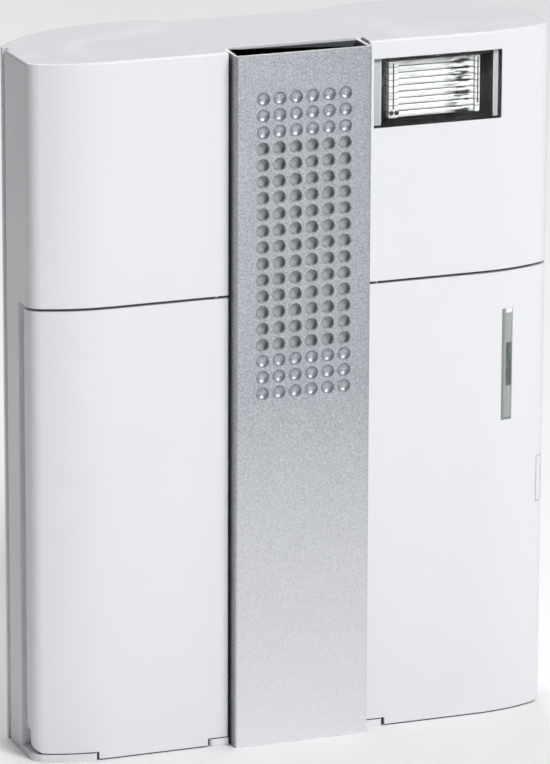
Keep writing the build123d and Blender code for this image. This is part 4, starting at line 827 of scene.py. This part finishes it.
class Shape:
    """A mesh being shaped, with short ways to add to it."""

    def __init__(self) -> None:
        """Starts an empty mesh."""
        self.mesh = bmesh.new()

    @staticmethod
    def new_verts(result: dict) -> list:
        """Picks the vertices out of an operator's result."""
        return [item for item in result["geom"] if isinstance(item, bmesh.types.BMVert)]

    @staticmethod
    def edges_of(verts: list) -> list:
        """Lists the edges of some vertices, each once and in their order."""
        return list(dict.fromkeys(edge for vert in verts for edge in vert.link_edges))

    @staticmethod
    def upright(spot: Vector) -> Matrix:
        """Places a flat shape at a spot, turned to face the front."""
        return Matrix.Translation(spot) @ Matrix.Rotation(math.pi / 2, 4, "X")

    def open_edges(self) -> list:
        """Lists the edges round the holes of the mesh."""
        return [edge for edge in self.mesh.edges if edge.is_boundary]

    def merge(self) -> None:
        """Joins vertices that lie on each other."""
        bmesh.ops.remove_doubles(self.mesh, verts=self.mesh.verts, dist=WELD)

    def fill(self, edges: list, **normal: tuple) -> None:
        """Fills the area between rings of edges with flat faces."""
        bmesh.ops.triangle_fill(self.mesh, use_beauty=True, use_dissolve=False, edges=edges, **normal)

    def panel(self, half: float, y: float, z: Span, steps: tuple[int, int]) -> list:
        """Adds an upright rectangle of faces.

        Args:
            half: Half its width.
            y: Its depth.
            z: Its lower and upper ends.
            steps: Faces across and upwards.

        Returns:
            Its vertices.
        """
        made = bmesh.ops.create_grid(self.mesh, x_segments=steps[0], y_segments=steps[1], size=1.0)
        size = Matrix.Diagonal((half, (z[1] - z[0]) / 2, 1.0, 1.0))
        place = self.upright(Vector((0.0, y, (z[0] + z[1]) / 2))) @ size
        bmesh.ops.transform(self.mesh, matrix=place, verts=made["verts"])
        return made["verts"]

    def sweep(self, outline: list[tuple], reach: tuple, closed: bool = False) -> None:
        """Extrudes an outline.

        Args:
            outline: Its points.
            reach: Which way and how far it is extruded.
            closed: Whether its last point joins its first.
        """
        verts = [self.mesh.verts.new(point) for point in outline]
        edges = [self.mesh.edges.new(pair) for pair in zip(verts, verts[1:])]
        if closed:
            edges.append(self.mesh.edges.new((verts[-1], verts[0])))
        made = bmesh.ops.extrude_edge_only(self.mesh, edges=edges)
        bmesh.ops.translate(self.mesh, vec=reach, verts=self.new_verts(made))

    def tier(self, edges: list, centre: Vector, scale: float, depth: float) -> list:
        """Extrudes a ring of edges to a smaller or larger ring further back.

        Args:
            edges: The ring's edges.
            centre: The ring's middle.
            scale: Size of the new ring against the old one.
            depth: How far back the new ring lies.

        Returns:
            The new ring's edges.
        """
        made = bmesh.ops.extrude_edge_only(self.mesh, edges=edges)
        verts = self.new_verts(made)
        bmesh.ops.scale(self.mesh, vec=(scale, 1.0, scale), space=Matrix.Translation(-centre), verts=verts)
        bmesh.ops.translate(self.mesh, vec=(0.0, depth, 0.0), verts=verts)
        ring = set(verts)
        new_edges = (item for item in made["geom"] if isinstance(item, bmesh.types.BMEdge))
        return [edge for edge in new_edges if ring.issuperset(edge.verts)]

    def bar(self, low: tuple, high: tuple, round_edge: float = 0.0, segments: int = 3) -> None:
        """Adds a box between two corners, with its edges rounded.

        Args:
            low: Lowest corner.
            high: Highest corner.
            round_edge: Radius of the edges.
            segments: Faces across each rounded edge.
        """
        size = Vector(high) - Vector(low)
        place = Matrix.Translation((Vector(low) + Vector(high)) / 2) @ Matrix.Diagonal((*size, 1.0))
        made = bmesh.ops.create_cube(self.mesh, size=1.0, matrix=place)
        if round_edge:
            self.round_off(self.edges_of(made["verts"]), round_edge, segments)

    def round_off(self, edges: list, radius: float, segments: int) -> None:
        """Rounds edges off.

        Args:
            edges: The edges.
            radius: How far the rounding reaches.
            segments: Faces across it.
        """
        how = {"affect": "EDGES", "profile": 0.5, "material": -1}
        bmesh.ops.bevel(self.mesh, geom=edges, offset=radius, segments=segments, **how)


class Bench:
    """Turns shapes into pieces, and gives them and the frame's solids their finishes."""

    def __init__(self, effects: Effects) -> None:
        """Keeps the shared effects and starts without materials."""
        self.effects = effects
        self.built: dict[str, Material] = {}

    def material(self, finish: Finish) -> Material:
        """Finds a finish's material, or builds it the first time.

        Args:
            finish: The finish.

        Returns:
            Its material.
        """
        if finish.name not in self.built:
            self.built[finish.name] = finish.build(self.effects)
        return self.built[finish.name]

    def dress(self, finish: Finish, names: tuple[str, ...]) -> None:
        """Puts a finish on solids of the frame.

        Args:
            finish: The finish.
            names: The solids' names.
        """
        for name in names:
            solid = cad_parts[name]
            if not solid.material_slots:
                solid.data.materials.append(None)
            for place in solid.material_slots:
                place.material = self.material(finish)
            LOG.info("dressed %s in %s", name, finish.name)

    def piece(self, shape: Shape, name: str, finish: Finish, slot: str) -> bpy.types.Object:
        """Makes an object of a shape, finished and riding on the housing.

        Args:
            shape: The shape, whose mesh is freed here.
            name: The piece's name.
            finish: Its finish.
            slot: Not used.

        Returns:
            The piece.
        """
        shape.merge()
        bmesh.ops.recalc_face_normals(shape.mesh, faces=shape.mesh.faces)
        data = bpy.data.meshes.new(name)
        shape.mesh.to_mesh(data)
        shape.mesh.free()
        for polygon in data.polygons:
            polygon.use_smooth = True
        data.set_sharp_from_angle(angle=SHARP)
        data.materials.append(self.material(finish))
        piece = bpy.data.objects.new(name, data)
        bpy.context.scene.collection.objects.link(piece)
        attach(piece, "housing")
        LOG.info("made %s with %d faces", name, len(data.polygons))
        return piece


class SubAssembly:
    """A group of pieces: the meshes that it makes and the solids that it dresses."""

    dressing: ClassVar[tuple[tuple[Finish, tuple[str, ...]], ...]]

    def model(self, bench: Bench) -> None:
        """Makes the pieces that the scene adds, where there are any."""

    def dress(self, bench: Bench) -> None:
        """Makes its pieces, then dresses its solids.

        Args:
            bench: Makes the pieces and holds the materials.
        """
        self.model(bench)
        for finish, names in self.dressing:
            bench.dress(finish, names)


class Case(SubAssembly):
    """The two halves of the case, both doors, the release key and the light bar."""

    dressing = (
        (WHITE_CASE, ("back_shell", "front_cover", "left_door", "right_door", "release_key")),
        (PLATED_STEEL, ("left_hinge_pins", "right_hinge_pins", "case_screws")),
        (PALE_BAR, ("light_bar",)),
    )


@dataclass
class SoundFront(SubAssembly):
    """The silver grille strip with its round holes, the cloths behind it and the loudspeaker."""

    half_width: float = 18.1 * MM
    face: float = 1.2 * MM
    flange: float = 1.0 * MM
    corner: float = 0.7 * MM
    arc_steps: int = 6
    hole_radius: float = 1.56 * MM
    hole_rim: float = 0.18 * MM
    hole_segments: int = 28
    pitch_x: float = 4.39 * MM
    pitch_z: float = 4.24 * MM
    columns: int = 6
    rows: int = 13
    dimple_rows: int = 3
    dimple_depth: float = 1.05 * MM
    dimple_tiers: int = 5
    dimple_floor: float = 0.4
    centre_z: float = 132.3 * MM
    hook_width: float = 6.0 * MM
    hook_length: float = 3.2 * MM
    hook_thickness: float = 1.0 * MM
    hook_heights: Span = (30.0 * MM, 85.0 * MM)
    cloth_half: float = 16.8 * MM
    cloth_thickness: float = 0.3 * MM
    cloth_inset: float = 0.2 * MM
    cloth_steps: tuple[int, int] = (24, 48)
    slack: float = 0.05 * MM
    ripple_up: float = 190.0
    ripple_across: float = 260.0
    ripple_start: float = 0.7
    gauze_half: float = 14.6 * MM
    gauze_gap: float = 0.1 * MM

    dressing = (
        (SOFT_BLACK, ("speaker_gasket", "speaker_surround")),
        (SHEET_STEEL, ("speaker_basket", "speaker_retainer")),
        (MAGNET_GREY, ("speaker_magnet",)),
        (CONE_PAPER, ("speaker_cone", "dust_cap")),
        (PLATED_STEEL, ("speaker_screws",)),
    )

    def hole_rows(self, first: int, count: int) -> list[Vector]:
        """Places some rows of holes, numbered upwards from the middle row.

        Args:
            first: The lowest row.
            count: How many rows.

        Returns:
            The middles of the holes, on the face's plane.
        """
        low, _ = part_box("grille_strip")
        spots = []
        for row in range(first, first + count):
            for column in range(self.columns):
                x = (column - (self.columns - 1) / 2) * self.pitch_x
                spots.append(Vector((x, low[1], self.centre_z + row * self.pitch_z)))
        return spots

    def ring(self, shape: Shape, spot: Vector) -> list:
        """Adds the ring of a hole's outer rim.

        Args:
            shape: The strip.
            spot: The hole's middle.

        Returns:
            The ring's edges.
        """
        made = bmesh.ops.create_circle(
            shape.mesh,
            cap_ends=False,
            segments=self.hole_segments,
            radius=self.hole_radius + self.hole_rim,
            matrix=Shape.upright(spot),
        )
        return Shape.edges_of(made["verts"])

    def frame_edges(self, shape: Shape, y: float, z: Span) -> list:
        """Adds the rectangle round the flat of the face.

        Args:
            shape: The strip.
            y: The rectangle's depth.
            z: Its lower and upper ends.

        Returns:
            The rectangle's edges.
        """
        edges = Shape.edges_of(shape.panel(self.half_width - self.corner, y, z, steps=(1, 1)))
        faces = list(dict.fromkeys(face for edge in edges for face in edge.link_faces))
        bmesh.ops.delete(shape.mesh, geom=faces, context="FACES_ONLY")
        return edges

    def side(self, shape: Shape, sign: int, front: float, rear: float, z: Span) -> None:
        """Adds one rounded edge and flange of the strip.

        Args:
            shape: The strip.
            sign: -1 for the left side and 1 for the right.
            front: Depth of the strip's face.
            rear: Depth of the flange's end.
            z: Lower and upper ends.
        """
        flat, inner, back = self.half_width - self.corner, self.half_width - self.flange, front + self.face
        outline = []
        for step in range(self.arc_steps + 1):
            turn = math.pi / 2 * step / self.arc_steps
            outline.append((flat + self.corner * math.sin(turn), front + self.corner * (1 - math.cos(turn))))
        outline += [(self.half_width, rear), (inner, rear), (inner, back), (flat, back)]
        shape.sweep([(sign * x, y, z[0]) for x, y in outline], (0.0, 0.0, z[1] - z[0]))

    def dish(self, shape: Shape, ring: list, spot: Vector) -> None:
        """Sinks a blind dimple behind its ring.

        Args:
            shape: The strip.
            ring: The ring's edges.
            spot: The dimple's middle.
        """
        last, depth = 1.0, 0.0
        for step in range(1, self.dimple_tiers + 1):
            turn = math.pi / 2 * step / (self.dimple_tiers + self.dimple_floor)
            size, reach = math.cos(turn), self.dimple_depth * math.sin(turn)
            ring = shape.tier(ring, spot, size / last, reach - depth)
            last, depth = size, reach
        bmesh.ops.holes_fill(shape.mesh, edges=ring, sides=0)

    def hooks(self, shape: Shape, front: float, rear: float) -> None:
        """Adds the hooks behind the flanges.

        Args:
            shape: The strip.
            front: Where the flanges end.
            rear: Where the hooks end.
        """
        for sign in (-1, 1):
            left, right = sorted((sign * self.half_width, sign * (self.half_width - self.hook_thickness)))
            for height in self.hook_heights:
                bottom, top = height - self.hook_width / 2, height + self.hook_width / 2
                shape.bar((left, front, bottom), (right, rear, top))

    def strip(self, bench: Bench) -> None:
        """Makes the U-section strip with through holes and dished dimples.

        Args:
            bench: Makes the piece.
        """
        low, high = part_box("grille_strip")
        front, rear, z = low[1], high[1] - self.hook_length, (low[2], high[2])
        shape = Shape()
        half_rows = self.rows // 2
        through = self.hole_rows(-half_rows, self.rows)
        blind = self.hole_rows(half_rows + 1, self.dimple_rows)
        blind += self.hole_rows(-half_rows - self.dimple_rows, self.dimple_rows)
        edges = self.frame_edges(shape, front, z)
        back = self.frame_edges(shape, front + self.face, z)
        rings = [(spot, self.ring(shape, spot)) for spot in through + blind]
        edges += [edge for _, ring in rings for edge in ring]
        shape.fill(edges, normal=(0.0, -1.0, 0.0))
        rim = self.hole_radius / (self.hole_radius + self.hole_rim)
        for spot, ring in rings[: len(through)]:
            ring = shape.tier(ring, spot, rim, self.hole_rim)
            back += shape.tier(ring, spot, 1.0, self.face - self.hole_rim)
        for spot, ring in rings[len(through) :]:
            self.dish(shape, ring, spot)
        shape.fill(back, normal=(0.0, 1.0, 0.0))
        for sign in (-1, 1):
            self.side(shape, sign, front, rear, z)
        shape.merge()
        bmesh.ops.holes_fill(shape.mesh, edges=shape.open_edges(), sides=0)
        self.hooks(shape, rear, high[1])
        piece = bench.piece(shape, "grille_strip_skin", SILVER_STRIP, "strip_silver")
        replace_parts(piece, "grille_strip")

    def cloth(
        self, bench: Bench, name: str, finish: Finish, half: float, y: float, z: Span
    ) -> bpy.types.Object:
        """Makes a thin flat cloth with a slight slack between its glued edges.

        Args:
            bench: Makes the piece.
            name: The piece's name.
            finish: Its finish.
            half: Half its width.
            y: Depth of its front.
            z: Lower and upper ends.

        Returns:
            The cloth.
        """
        shape = Shape()
        for vert in shape.panel(half, y, z, self.cloth_steps):
            across = 1.0 - (vert.co.x / half) ** 2
            ripple = math.sin(vert.co.z * self.ripple_up)
            ripple *= math.sin(vert.co.x * self.ripple_across + self.ripple_start)
            vert.co.y += self.slack * across * (1.0 + ripple)
        whole = shape.mesh.verts[:] + shape.mesh.edges[:] + shape.mesh.faces[:]
        bmesh.ops.solidify(shape.mesh, geom=whole, thickness=self.cloth_thickness)
        piece = bench.piece(shape, name, finish, "grille_cloth")
        return piece

    def model(self, bench: Bench) -> None:
        """Makes the strip, the channel's cloth and the gauze behind the holes.

        Args:
            bench: Makes the pieces.
        """
        self.strip(bench)
        cloth_low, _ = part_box("grille_cloth")
        strip_low, strip_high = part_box("grille_strip")
        cloth_y = cloth_low[1] + self.cloth_thickness
        cloth_z = (cloth_low[2], strip_high[2] - self.cloth_inset)
        lining = self.cloth(bench, "channel_cloth", SLATE_CLOTH, self.cloth_half, cloth_y, cloth_z)
        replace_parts(lining, "grille_cloth")
        rows = (self.rows + 1) / 2 * self.pitch_z
        gauze_y = strip_low[1] + self.face + self.cloth_thickness + self.gauze_gap
        gauze_z = (self.centre_z - rows, self.centre_z + rows)
        self.cloth(bench, "strip_gauze", GREY_GAUZE, self.gauze_half, gauze_y, gauze_z)


@dataclass
class FlashLamp(SubAssembly):
    """The lamp at the upper right: window, lens, reflector and tube in their dark box."""

    plate: float = 1.2 * MM
    wall: float = 1.1 * MM
    flange: float = 1.3 * MM
    edge_round: float = 0.3 * MM
    fine_round: float = 0.1 * MM
    left_edge: float = 2.1 * MM
    left_inset: float = 0.15 * MM
    right_edge: float = 1.3 * MM
    right_inset: float = 0.7 * MM
    edge_inset: float = 0.4 * MM
    edge_depth: float = 0.6 * MM
    edge_corner: float = 0.15 * MM
    lens_plate: float = 1.0 * MM
    ribs: int = 9
    rib_steps: int = 6
    rib_height: float = 0.42 * MM
    rib_share: float = 0.46
    left_bar: float = 2.8 * MM
    right_bar: float = 1.6 * MM
    bar_height: float = 0.9 * MM
    bar_gap: float = 0.2 * MM
    bar_round: float = 0.2 * MM
    skirt_inset: float = 1.5 * MM
    groove_insets: Span = (1.05 * MM, 0.75 * MM)
    groove_width: float = 0.35 * MM
    groove_proud: float = 0.05 * MM
    groove_depth: float = 0.3 * MM
    groove_foot: float = 2.2 * MM
    groove_head: float = 0.6 * MM
    groove_round: float = 0.04 * MM
    peg_radius: float = 0.65 * MM
    peg_taper: float = 0.75
    peg_sides: int = 20
    peg_length: float = 0.5 * MM
    peg_proud: float = 0.1 * MM
    peg_round: float = 0.06 * MM
    peg_places: tuple[Span, ...] = ((0.75 * MM, 1.35 * MM), (2.15 * MM, 1.35 * MM))

    dressing = (
        (INNER_DARK, ("flash_bracket",)),
        (MIRROR_SHEET, ("flash_reflector",)),
        (TUBE_GLASS, ("flash_tube",)),
        (PLATED_STEEL, ("flash_electrodes",)),
    )

    def window(self, bench: Bench) -> None:
        """Makes the clear window with its skirt, and near-white bars inside its side edges that paint the
        highlights of the window's edges.

        Args:
            bench: Makes the pieces.
        """
        low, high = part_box("flash_window")
        left, right = low[0], high[0] - self.flange
        bottom, top = low[2] + self.flange, high[2] - self.flange
        front, rear = low[1], high[1]
        inner = front + self.plate
        wall, fine = self.wall, self.fine_round
        shape = Shape()
        shape.bar((left, front, bottom), (right, inner, top), self.edge_round)
        for z in (bottom, top - wall):
            shape.bar((left, inner, z), (right, rear, z + wall), fine, segments=1)
        for x in (left, right - wall):
            shape.bar((x, inner, bottom + wall), (x + wall, rear, top - wall), fine, segments=1)
        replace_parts(bench.piece(shape, "window_glazing", CLEAR_WINDOW, "clear_plastic"), "flash_window")
        # Opaque near-white bars inside the side edges: painted highlight of the window's edges.
        shape = Shape()
        start, end = left + self.left_inset, right - self.right_inset
        for x_low, x_high in ((start, start + self.left_edge), (end - self.right_edge, end)):
            edge_low = (x_low, inner, bottom + self.edge_inset)
            edge_high = (x_high, inner + self.edge_depth, top - self.edge_inset)
            shape.bar(edge_low, edge_high, self.edge_corner)
        bench.piece(shape, "window_edge_highlights", EDGE_HIGHLIGHT_WHITE, "clear_plastic")

    def rib_bundle(self, shape: Shape, x: Span, z: Span, front: float) -> None:
        """Adds the half-round ribs, one above another.

        Args:
            shape: The diffuser.
            x: Their left and right ends.
            z: The lowest and highest places of the bundle.
            front: Depth of the plate that they stand on.
        """
        pitch = (z[1] - z[0]) / self.ribs
        outline = []
        for rib in range(self.ribs):
            for step in range(self.rib_steps + 1):
                turn = math.pi * step / self.rib_steps
                rise = z[0] + pitch * (rib + 0.5 - self.rib_share * math.cos(turn))
                outline.append((x[0], front - self.rib_height * math.sin(turn), rise))
        shape.sweep(outline, (x[1] - x[0], 0.0, 0.0), closed=True)
        shape.fill(shape.open_edges())

    def lens(self, bench: Bench) -> None:
        """Makes the diffuser with its ribs, its two upright bars and its skirt.

        Args:
            bench: Makes the piece.
        """
        (left, lip, bottom), (right, rear, top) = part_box("flash_lens")
        front = lip + self.bar_height
        back = front + self.lens_plate
        shape = Shape()
        ribs = (left + self.left_bar, right - self.right_bar)
        shape.bar((left, front, bottom), (right, back, top), self.fine_round, segments=1)
        shape.bar((left, lip, bottom), (ribs[0] - self.bar_gap, front, top), self.bar_round)
        shape.bar((ribs[1] + self.bar_gap, lip, bottom), (right, front, top), self.bar_round)
        skirt = (left + self.skirt_inset, right - self.skirt_inset)
        for z in (bottom, top - self.wall):
            shape.bar((skirt[0], back, z), (skirt[1], rear, z + self.wall), self.fine_round, segments=1)
        self.rib_bundle(shape, ribs, (bottom, top), front)
        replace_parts(bench.piece(shape, "ribbed_diffuser", FLASH_LENS, "lens_plastic"), "flash_lens")

    def pegs(self, bench: Bench) -> None:
        """Makes the dark grooves in the upright bars and the two pegs at the lower left.

        Args:
            bench: Makes the piece.
        """
        (left, lip, bottom), (right, _, top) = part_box("flash_lens")
        shape = Shape()
        for x in (left + self.groove_insets[0], right - self.groove_insets[1]):
            low = (x, lip - self.groove_proud, bottom + self.groove_foot)
            high = (x + self.groove_width, lip + self.groove_depth, top - self.groove_head)
            shape.bar(low, high, self.groove_round, segments=1)
        for x, z in self.peg_places:
            peg = bmesh.ops.create_cone(
                shape.mesh,
                cap_ends=True,
                segments=self.peg_sides,
                radius1=self.peg_radius,
                radius2=self.peg_radius * self.peg_taper,
                depth=self.peg_length,
                matrix=Shape.upright(Vector((left + x, lip - self.peg_proud, bottom + z))),
            )
            rim = [edge for edge in Shape.edges_of(peg["verts"]) if len(edge.link_faces) == 2]
            shape.round_off(rim, self.peg_round, segments=2)
        bench.piece(shape, "diffuser_pegs", INNER_DARK, "inner_dark")

    def model(self, bench: Bench) -> None:
        """Makes the window, the diffuser and its pegs.

        Args:
            bench: Makes the pieces.
        """
        self.window(bench)
        self.lens(bench)
        self.pegs(bench)


@dataclass
class BatteryBay(SubAssembly):
    """The cells in their tray behind the left door, with plain plus and minus signs."""

    sign_size: float = 2.0 * MM
    stroke: float = 0.5 * MM
    print_depth: float = 0.2 * MM
    print_proud: float = 0.02 * MM
    plus_rise: float = 43.5 * MM
    minus_rise: float = 5.5 * MM

    dressing = (
        (INNER_WHITE, ("battery_tray",)),
        (DRY_CELL, ("battery_cells",)),
        (PLATED_STEEL, ("contact_plates", "contact_leaves")),
    )

    def spots(self, rise: float) -> list[Span]:
        """Places one kind of sign on every cell.

        Args:
            rise: The sign's height above its cell's base.

        Returns:
            The places, across and upwards.
        """
        low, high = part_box("battery_cells")
        middle, found = (low[0] + high[0]) / 2, []
        for column in (-1, 0, 1):
            for row in (0, 1):
                off_base = row * CELLS.cell_pitch + rise
                z = CELLS.upright_base + off_base if column else CELLS.turned_base - off_base
                found.append((middle + column * CELLS.column_pitch, z))
        return found

    def model(self, bench: Bench) -> None:
        """Makes the signs at both ends of each cell.

        Args:
            bench: Makes the pieces.
        """
        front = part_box("battery_cells")[0][1] - self.print_proud
        rear = front + self.print_depth
        long, short = self.sign_size / 2, self.stroke / 2
        plus, minus = Shape(), Shape()
        for shape, rise in ((plus, self.plus_rise), (minus, self.minus_rise)):
            for x, z in self.spots(rise):
                shape.bar((x - long, front, z - short), (x + long, rear, z + short))
                if shape is plus:
                    shape.bar((x - short, front, z - long), (x + short, rear, z - short))
                    shape.bar((x - short, front, z + short), (x + short, rear, z + long))
        bench.piece(plus, "cell_plus_signs", INNER_WHITE, "cell_sleeve")
        bench.piece(minus, "cell_minus_signs", PRINT_GREY, "cell_sleeve")


@dataclass
class ControlBay(SubAssembly):
    """The controls behind the right door, with plain printed marks beside them."""

    scale_ticks: int = 11
    scale_turn: float = math.radians(280.0)
    scale_radius: float = 10.2 * MM
    tick_width: float = 0.5 * MM
    tick_length: float = 1.6 * MM
    tick_first: float = 0.55
    print_depth: float = 0.04 * MM
    button_gap: float = 4.5 * MM
    button_pitch: float = 1.2 * MM
    button_mark: Span = (0.6 * MM, 2.6 * MM)
    slider_marks: int = 3
    slider_gap: float = 3.0 * MM
    slider_pitch: float = 2.0 * MM
    slider_mark: Span = (1.0 * MM, 0.6 * MM)
    slider_growth: float = 0.7 * MM

    dressing = (
        (INNER_WHITE, ("control_panel",)),
        (GREEN_BOARD, ("control_board",)),
        (CONTROL_GREY, ("volume_knob", "melody_button", "learn_button")),
        (INNER_DARK, ("mode_slider", "button_switches")),
        (SHEET_STEEL, ("volume_potentiometer", "slide_switch")),
        (RIBBED_LENS, ("signal_led",)),
    )

    def stroke(self, shape: Shape, spot: Span, size: Span, turn: float = 0.0) -> None:
        """Adds one printed stroke on the panel's front.

        Args:
            shape: The marks.
            spot: Its middle, across and upwards.
            size: Its width and height.
            turn: How far it is turned.
        """
        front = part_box("control_panel")[0][1] - self.print_depth / 2
        place = Matrix.Translation((spot[0], front, spot[1])) @ Matrix.Rotation(turn, 4, "Y")
        stretch = Matrix.Diagonal((size[0], self.print_depth, size[1], 1.0))
        bmesh.ops.create_cube(shape.mesh, size=1.0, matrix=place @ stretch)

    def scale(self, shape: Shape) -> None:
        """Adds the ticks round the knob, each longer than the last.

        Args:
            shape: The marks.
        """
        low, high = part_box("volume_knob")
        x, z = (low[0] + high[0]) / 2, (low[2] + high[2]) / 2
        for index in range(self.scale_ticks):
            share = index / (self.scale_ticks - 1)
            turn = self.scale_turn * (share - 0.5)
            length = self.tick_length * (self.tick_first + (1.0 - self.tick_first) * share)
            spot = (x + self.scale_radius * math.sin(turn), z + self.scale_radius * math.cos(turn))
            self.stroke(shape, spot, (self.tick_width, length), turn)

    def model(self, bench: Bench) -> None:
        """Makes the printed scale and the marks by the buttons and the slider.

        Args:
            bench: Makes the piece.
        """
        shape = Shape()
        self.scale(shape)
        for count, name in enumerate(("melody_button", "learn_button"), start=1):
            low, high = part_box(name)
            for index in range(count):
                spot = (high[0] + self.button_gap + index * self.button_pitch, (low[2] + high[2]) / 2)
                self.stroke(shape, spot, self.button_mark)
        low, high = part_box("mode_slider")
        width, height = self.slider_mark
        for index in range(self.slider_marks):
            rise = (index - (self.slider_marks - 1) / 2) * self.slider_pitch
            spot = (high[0] + self.slider_gap, (low[2] + high[2]) / 2 + rise)
            self.stroke(shape, spot, (width + index * self.slider_growth, height))
        bench.piece(shape, "panel_marks", PRINT_GREY, "inner_white")


class MainBoard(SubAssembly):
    """The main board and what it carries."""

    dressing = (
        (GREEN_BOARD, ("main_board",)),
        (PLATED_STEEL, ("board_screws",)),
        (CAN_SLEEVE, ("flash_capacitor",)),
        (COIL_BROWN, ("trigger_coil",)),
        (INNER_DARK, ("controller_chips",)),
        (SHEET_STEEL, ("radio_module",)),
        (SOFT_BLACK, ("antenna",)),
    )


@dataclass
class Viewpoint:
    """The photograph's viewpoint: a long lens from the left front, a little above."""

    azimuth: float = math.radians(20.486)
    elevation: float = math.radians(16.279)
    roll: float = math.radians(0.213)
    distance: float = 1503.9 * MM
    shift_right: float = -1.709 * MM
    shift_up: float = 0.746 * MM
    aim: tuple[float, float, float] = (0.0, 2.7 * MM, 90.0 * MM)
    lens: float = 275.5
    clip: Span = (0.1, 20.0)

    def build(self) -> bpy.types.Object:
        """Makes the camera.

        Returns:
            The camera's object.
        """
        flat, rise = math.cos(self.elevation), math.sin(self.elevation)
        forward = Vector((math.sin(self.azimuth) * flat, math.cos(self.azimuth) * flat, -rise))
        level = Vector((math.cos(self.azimuth), -math.sin(self.azimuth), 0.0))
        above = level.cross(forward)
        right = math.cos(self.roll) * level + math.sin(self.roll) * above
        up = -math.sin(self.roll) * level + math.cos(self.roll) * above
        data = bpy.data.cameras.new("viewpoint")
        data.lens = self.lens
        data.clip_start, data.clip_end = self.clip
        camera = bpy.data.objects.new("viewpoint", data)
        bpy.context.scene.collection.objects.link(camera)
        turn = Matrix((right, up, -forward)).transposed().to_4x4()
        spot = Vector(self.aim) - self.shift_right * right - self.shift_up * up - self.distance * forward
        camera.matrix_world = Matrix.Translation(spot) @ turn
        bpy.context.scene.camera = camera
        return camera


class Softbox(Enum):
    """The studio's lights: place, aim, size and power."""

    KEY = ((0.50, -1.10, 1.10), (0.0, 0.0, 0.09), 0.6, 16.5)
    OVERHEAD = ((0.1, 0.15, 1.3), (0.0, 0.1, 0.0), 0.9, 5.3)
    BACKDROP = ((0.0, 0.90, 1.2), (0.0, 0.70, 0.0), 0.8, 8.0)
    FOOT = ((0.0, -0.45, 0.12), (0.0, 0.0, 0.02), 0.3, 0.30)

    def hang(self) -> None:
        """Makes the light and aims it."""
        spot, aim, size, power = self.value
        light = bpy.data.lights.new(self.name.lower(), "AREA")
        light.shape = "SQUARE"
        light.size = size
        light.energy = power
        lamp = bpy.data.objects.new(self.name.lower(), light)
        bpy.context.scene.collection.objects.link(lamp)
        turn = (Vector(aim) - Vector(spot)).to_track_quat("-Z", "Y").to_matrix().to_4x4()
        lamp.matrix_world = Matrix.Translation(Vector(spot)) @ turn
        lamp.visible_camera = False


@dataclass
class Studio:
    """A pale floor under soft lights."""

    floor_half: float = 4.0
    air: Colour = (0.95, 0.97, 1.0)
    air_strength: float = 0.04

    def build(self, bench: Bench) -> None:
        """Makes the floor, the lights and the surrounding light.

        Args:
            bench: Builds the floor's finish.
        """
        mesh = bmesh.new()
        bmesh.ops.create_grid(mesh, x_segments=1, y_segments=1, size=self.floor_half)
        data = bpy.data.meshes.new("studio_floor")
        mesh.to_mesh(data)
        mesh.free()
        floor = bpy.data.objects.new("studio_floor", data)
        bpy.context.scene.collection.objects.link(floor)
        data.materials.append(bench.material(FLOOR_PAPER))
        for box in Softbox:
            box.hang()
        world = bpy.data.worlds.new("studio_air")
        bpy.context.scene.world = world
        world.use_nodes = True
        air = world.node_tree.nodes["Background"]
        air.inputs["Color"].default_value = (*self.air, 1.0)
        air.inputs["Strength"].default_value = self.air_strength
        bpy.context.scene.view_settings.view_transform = "Standard"


def main() -> None:
    """Builds the classes in order."""
    logging.basicConfig(level=logging.INFO, format="%(message)s")
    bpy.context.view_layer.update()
    Viewpoint().build()
    bench = Bench(Effects())
    for part in (Case(), SoundFront(), FlashLamp(), BatteryBay(), ControlBay(), MainBoard()):
        part.dress(bench)
    Studio().build(bench)


if __name__ == "__main__":
    main()
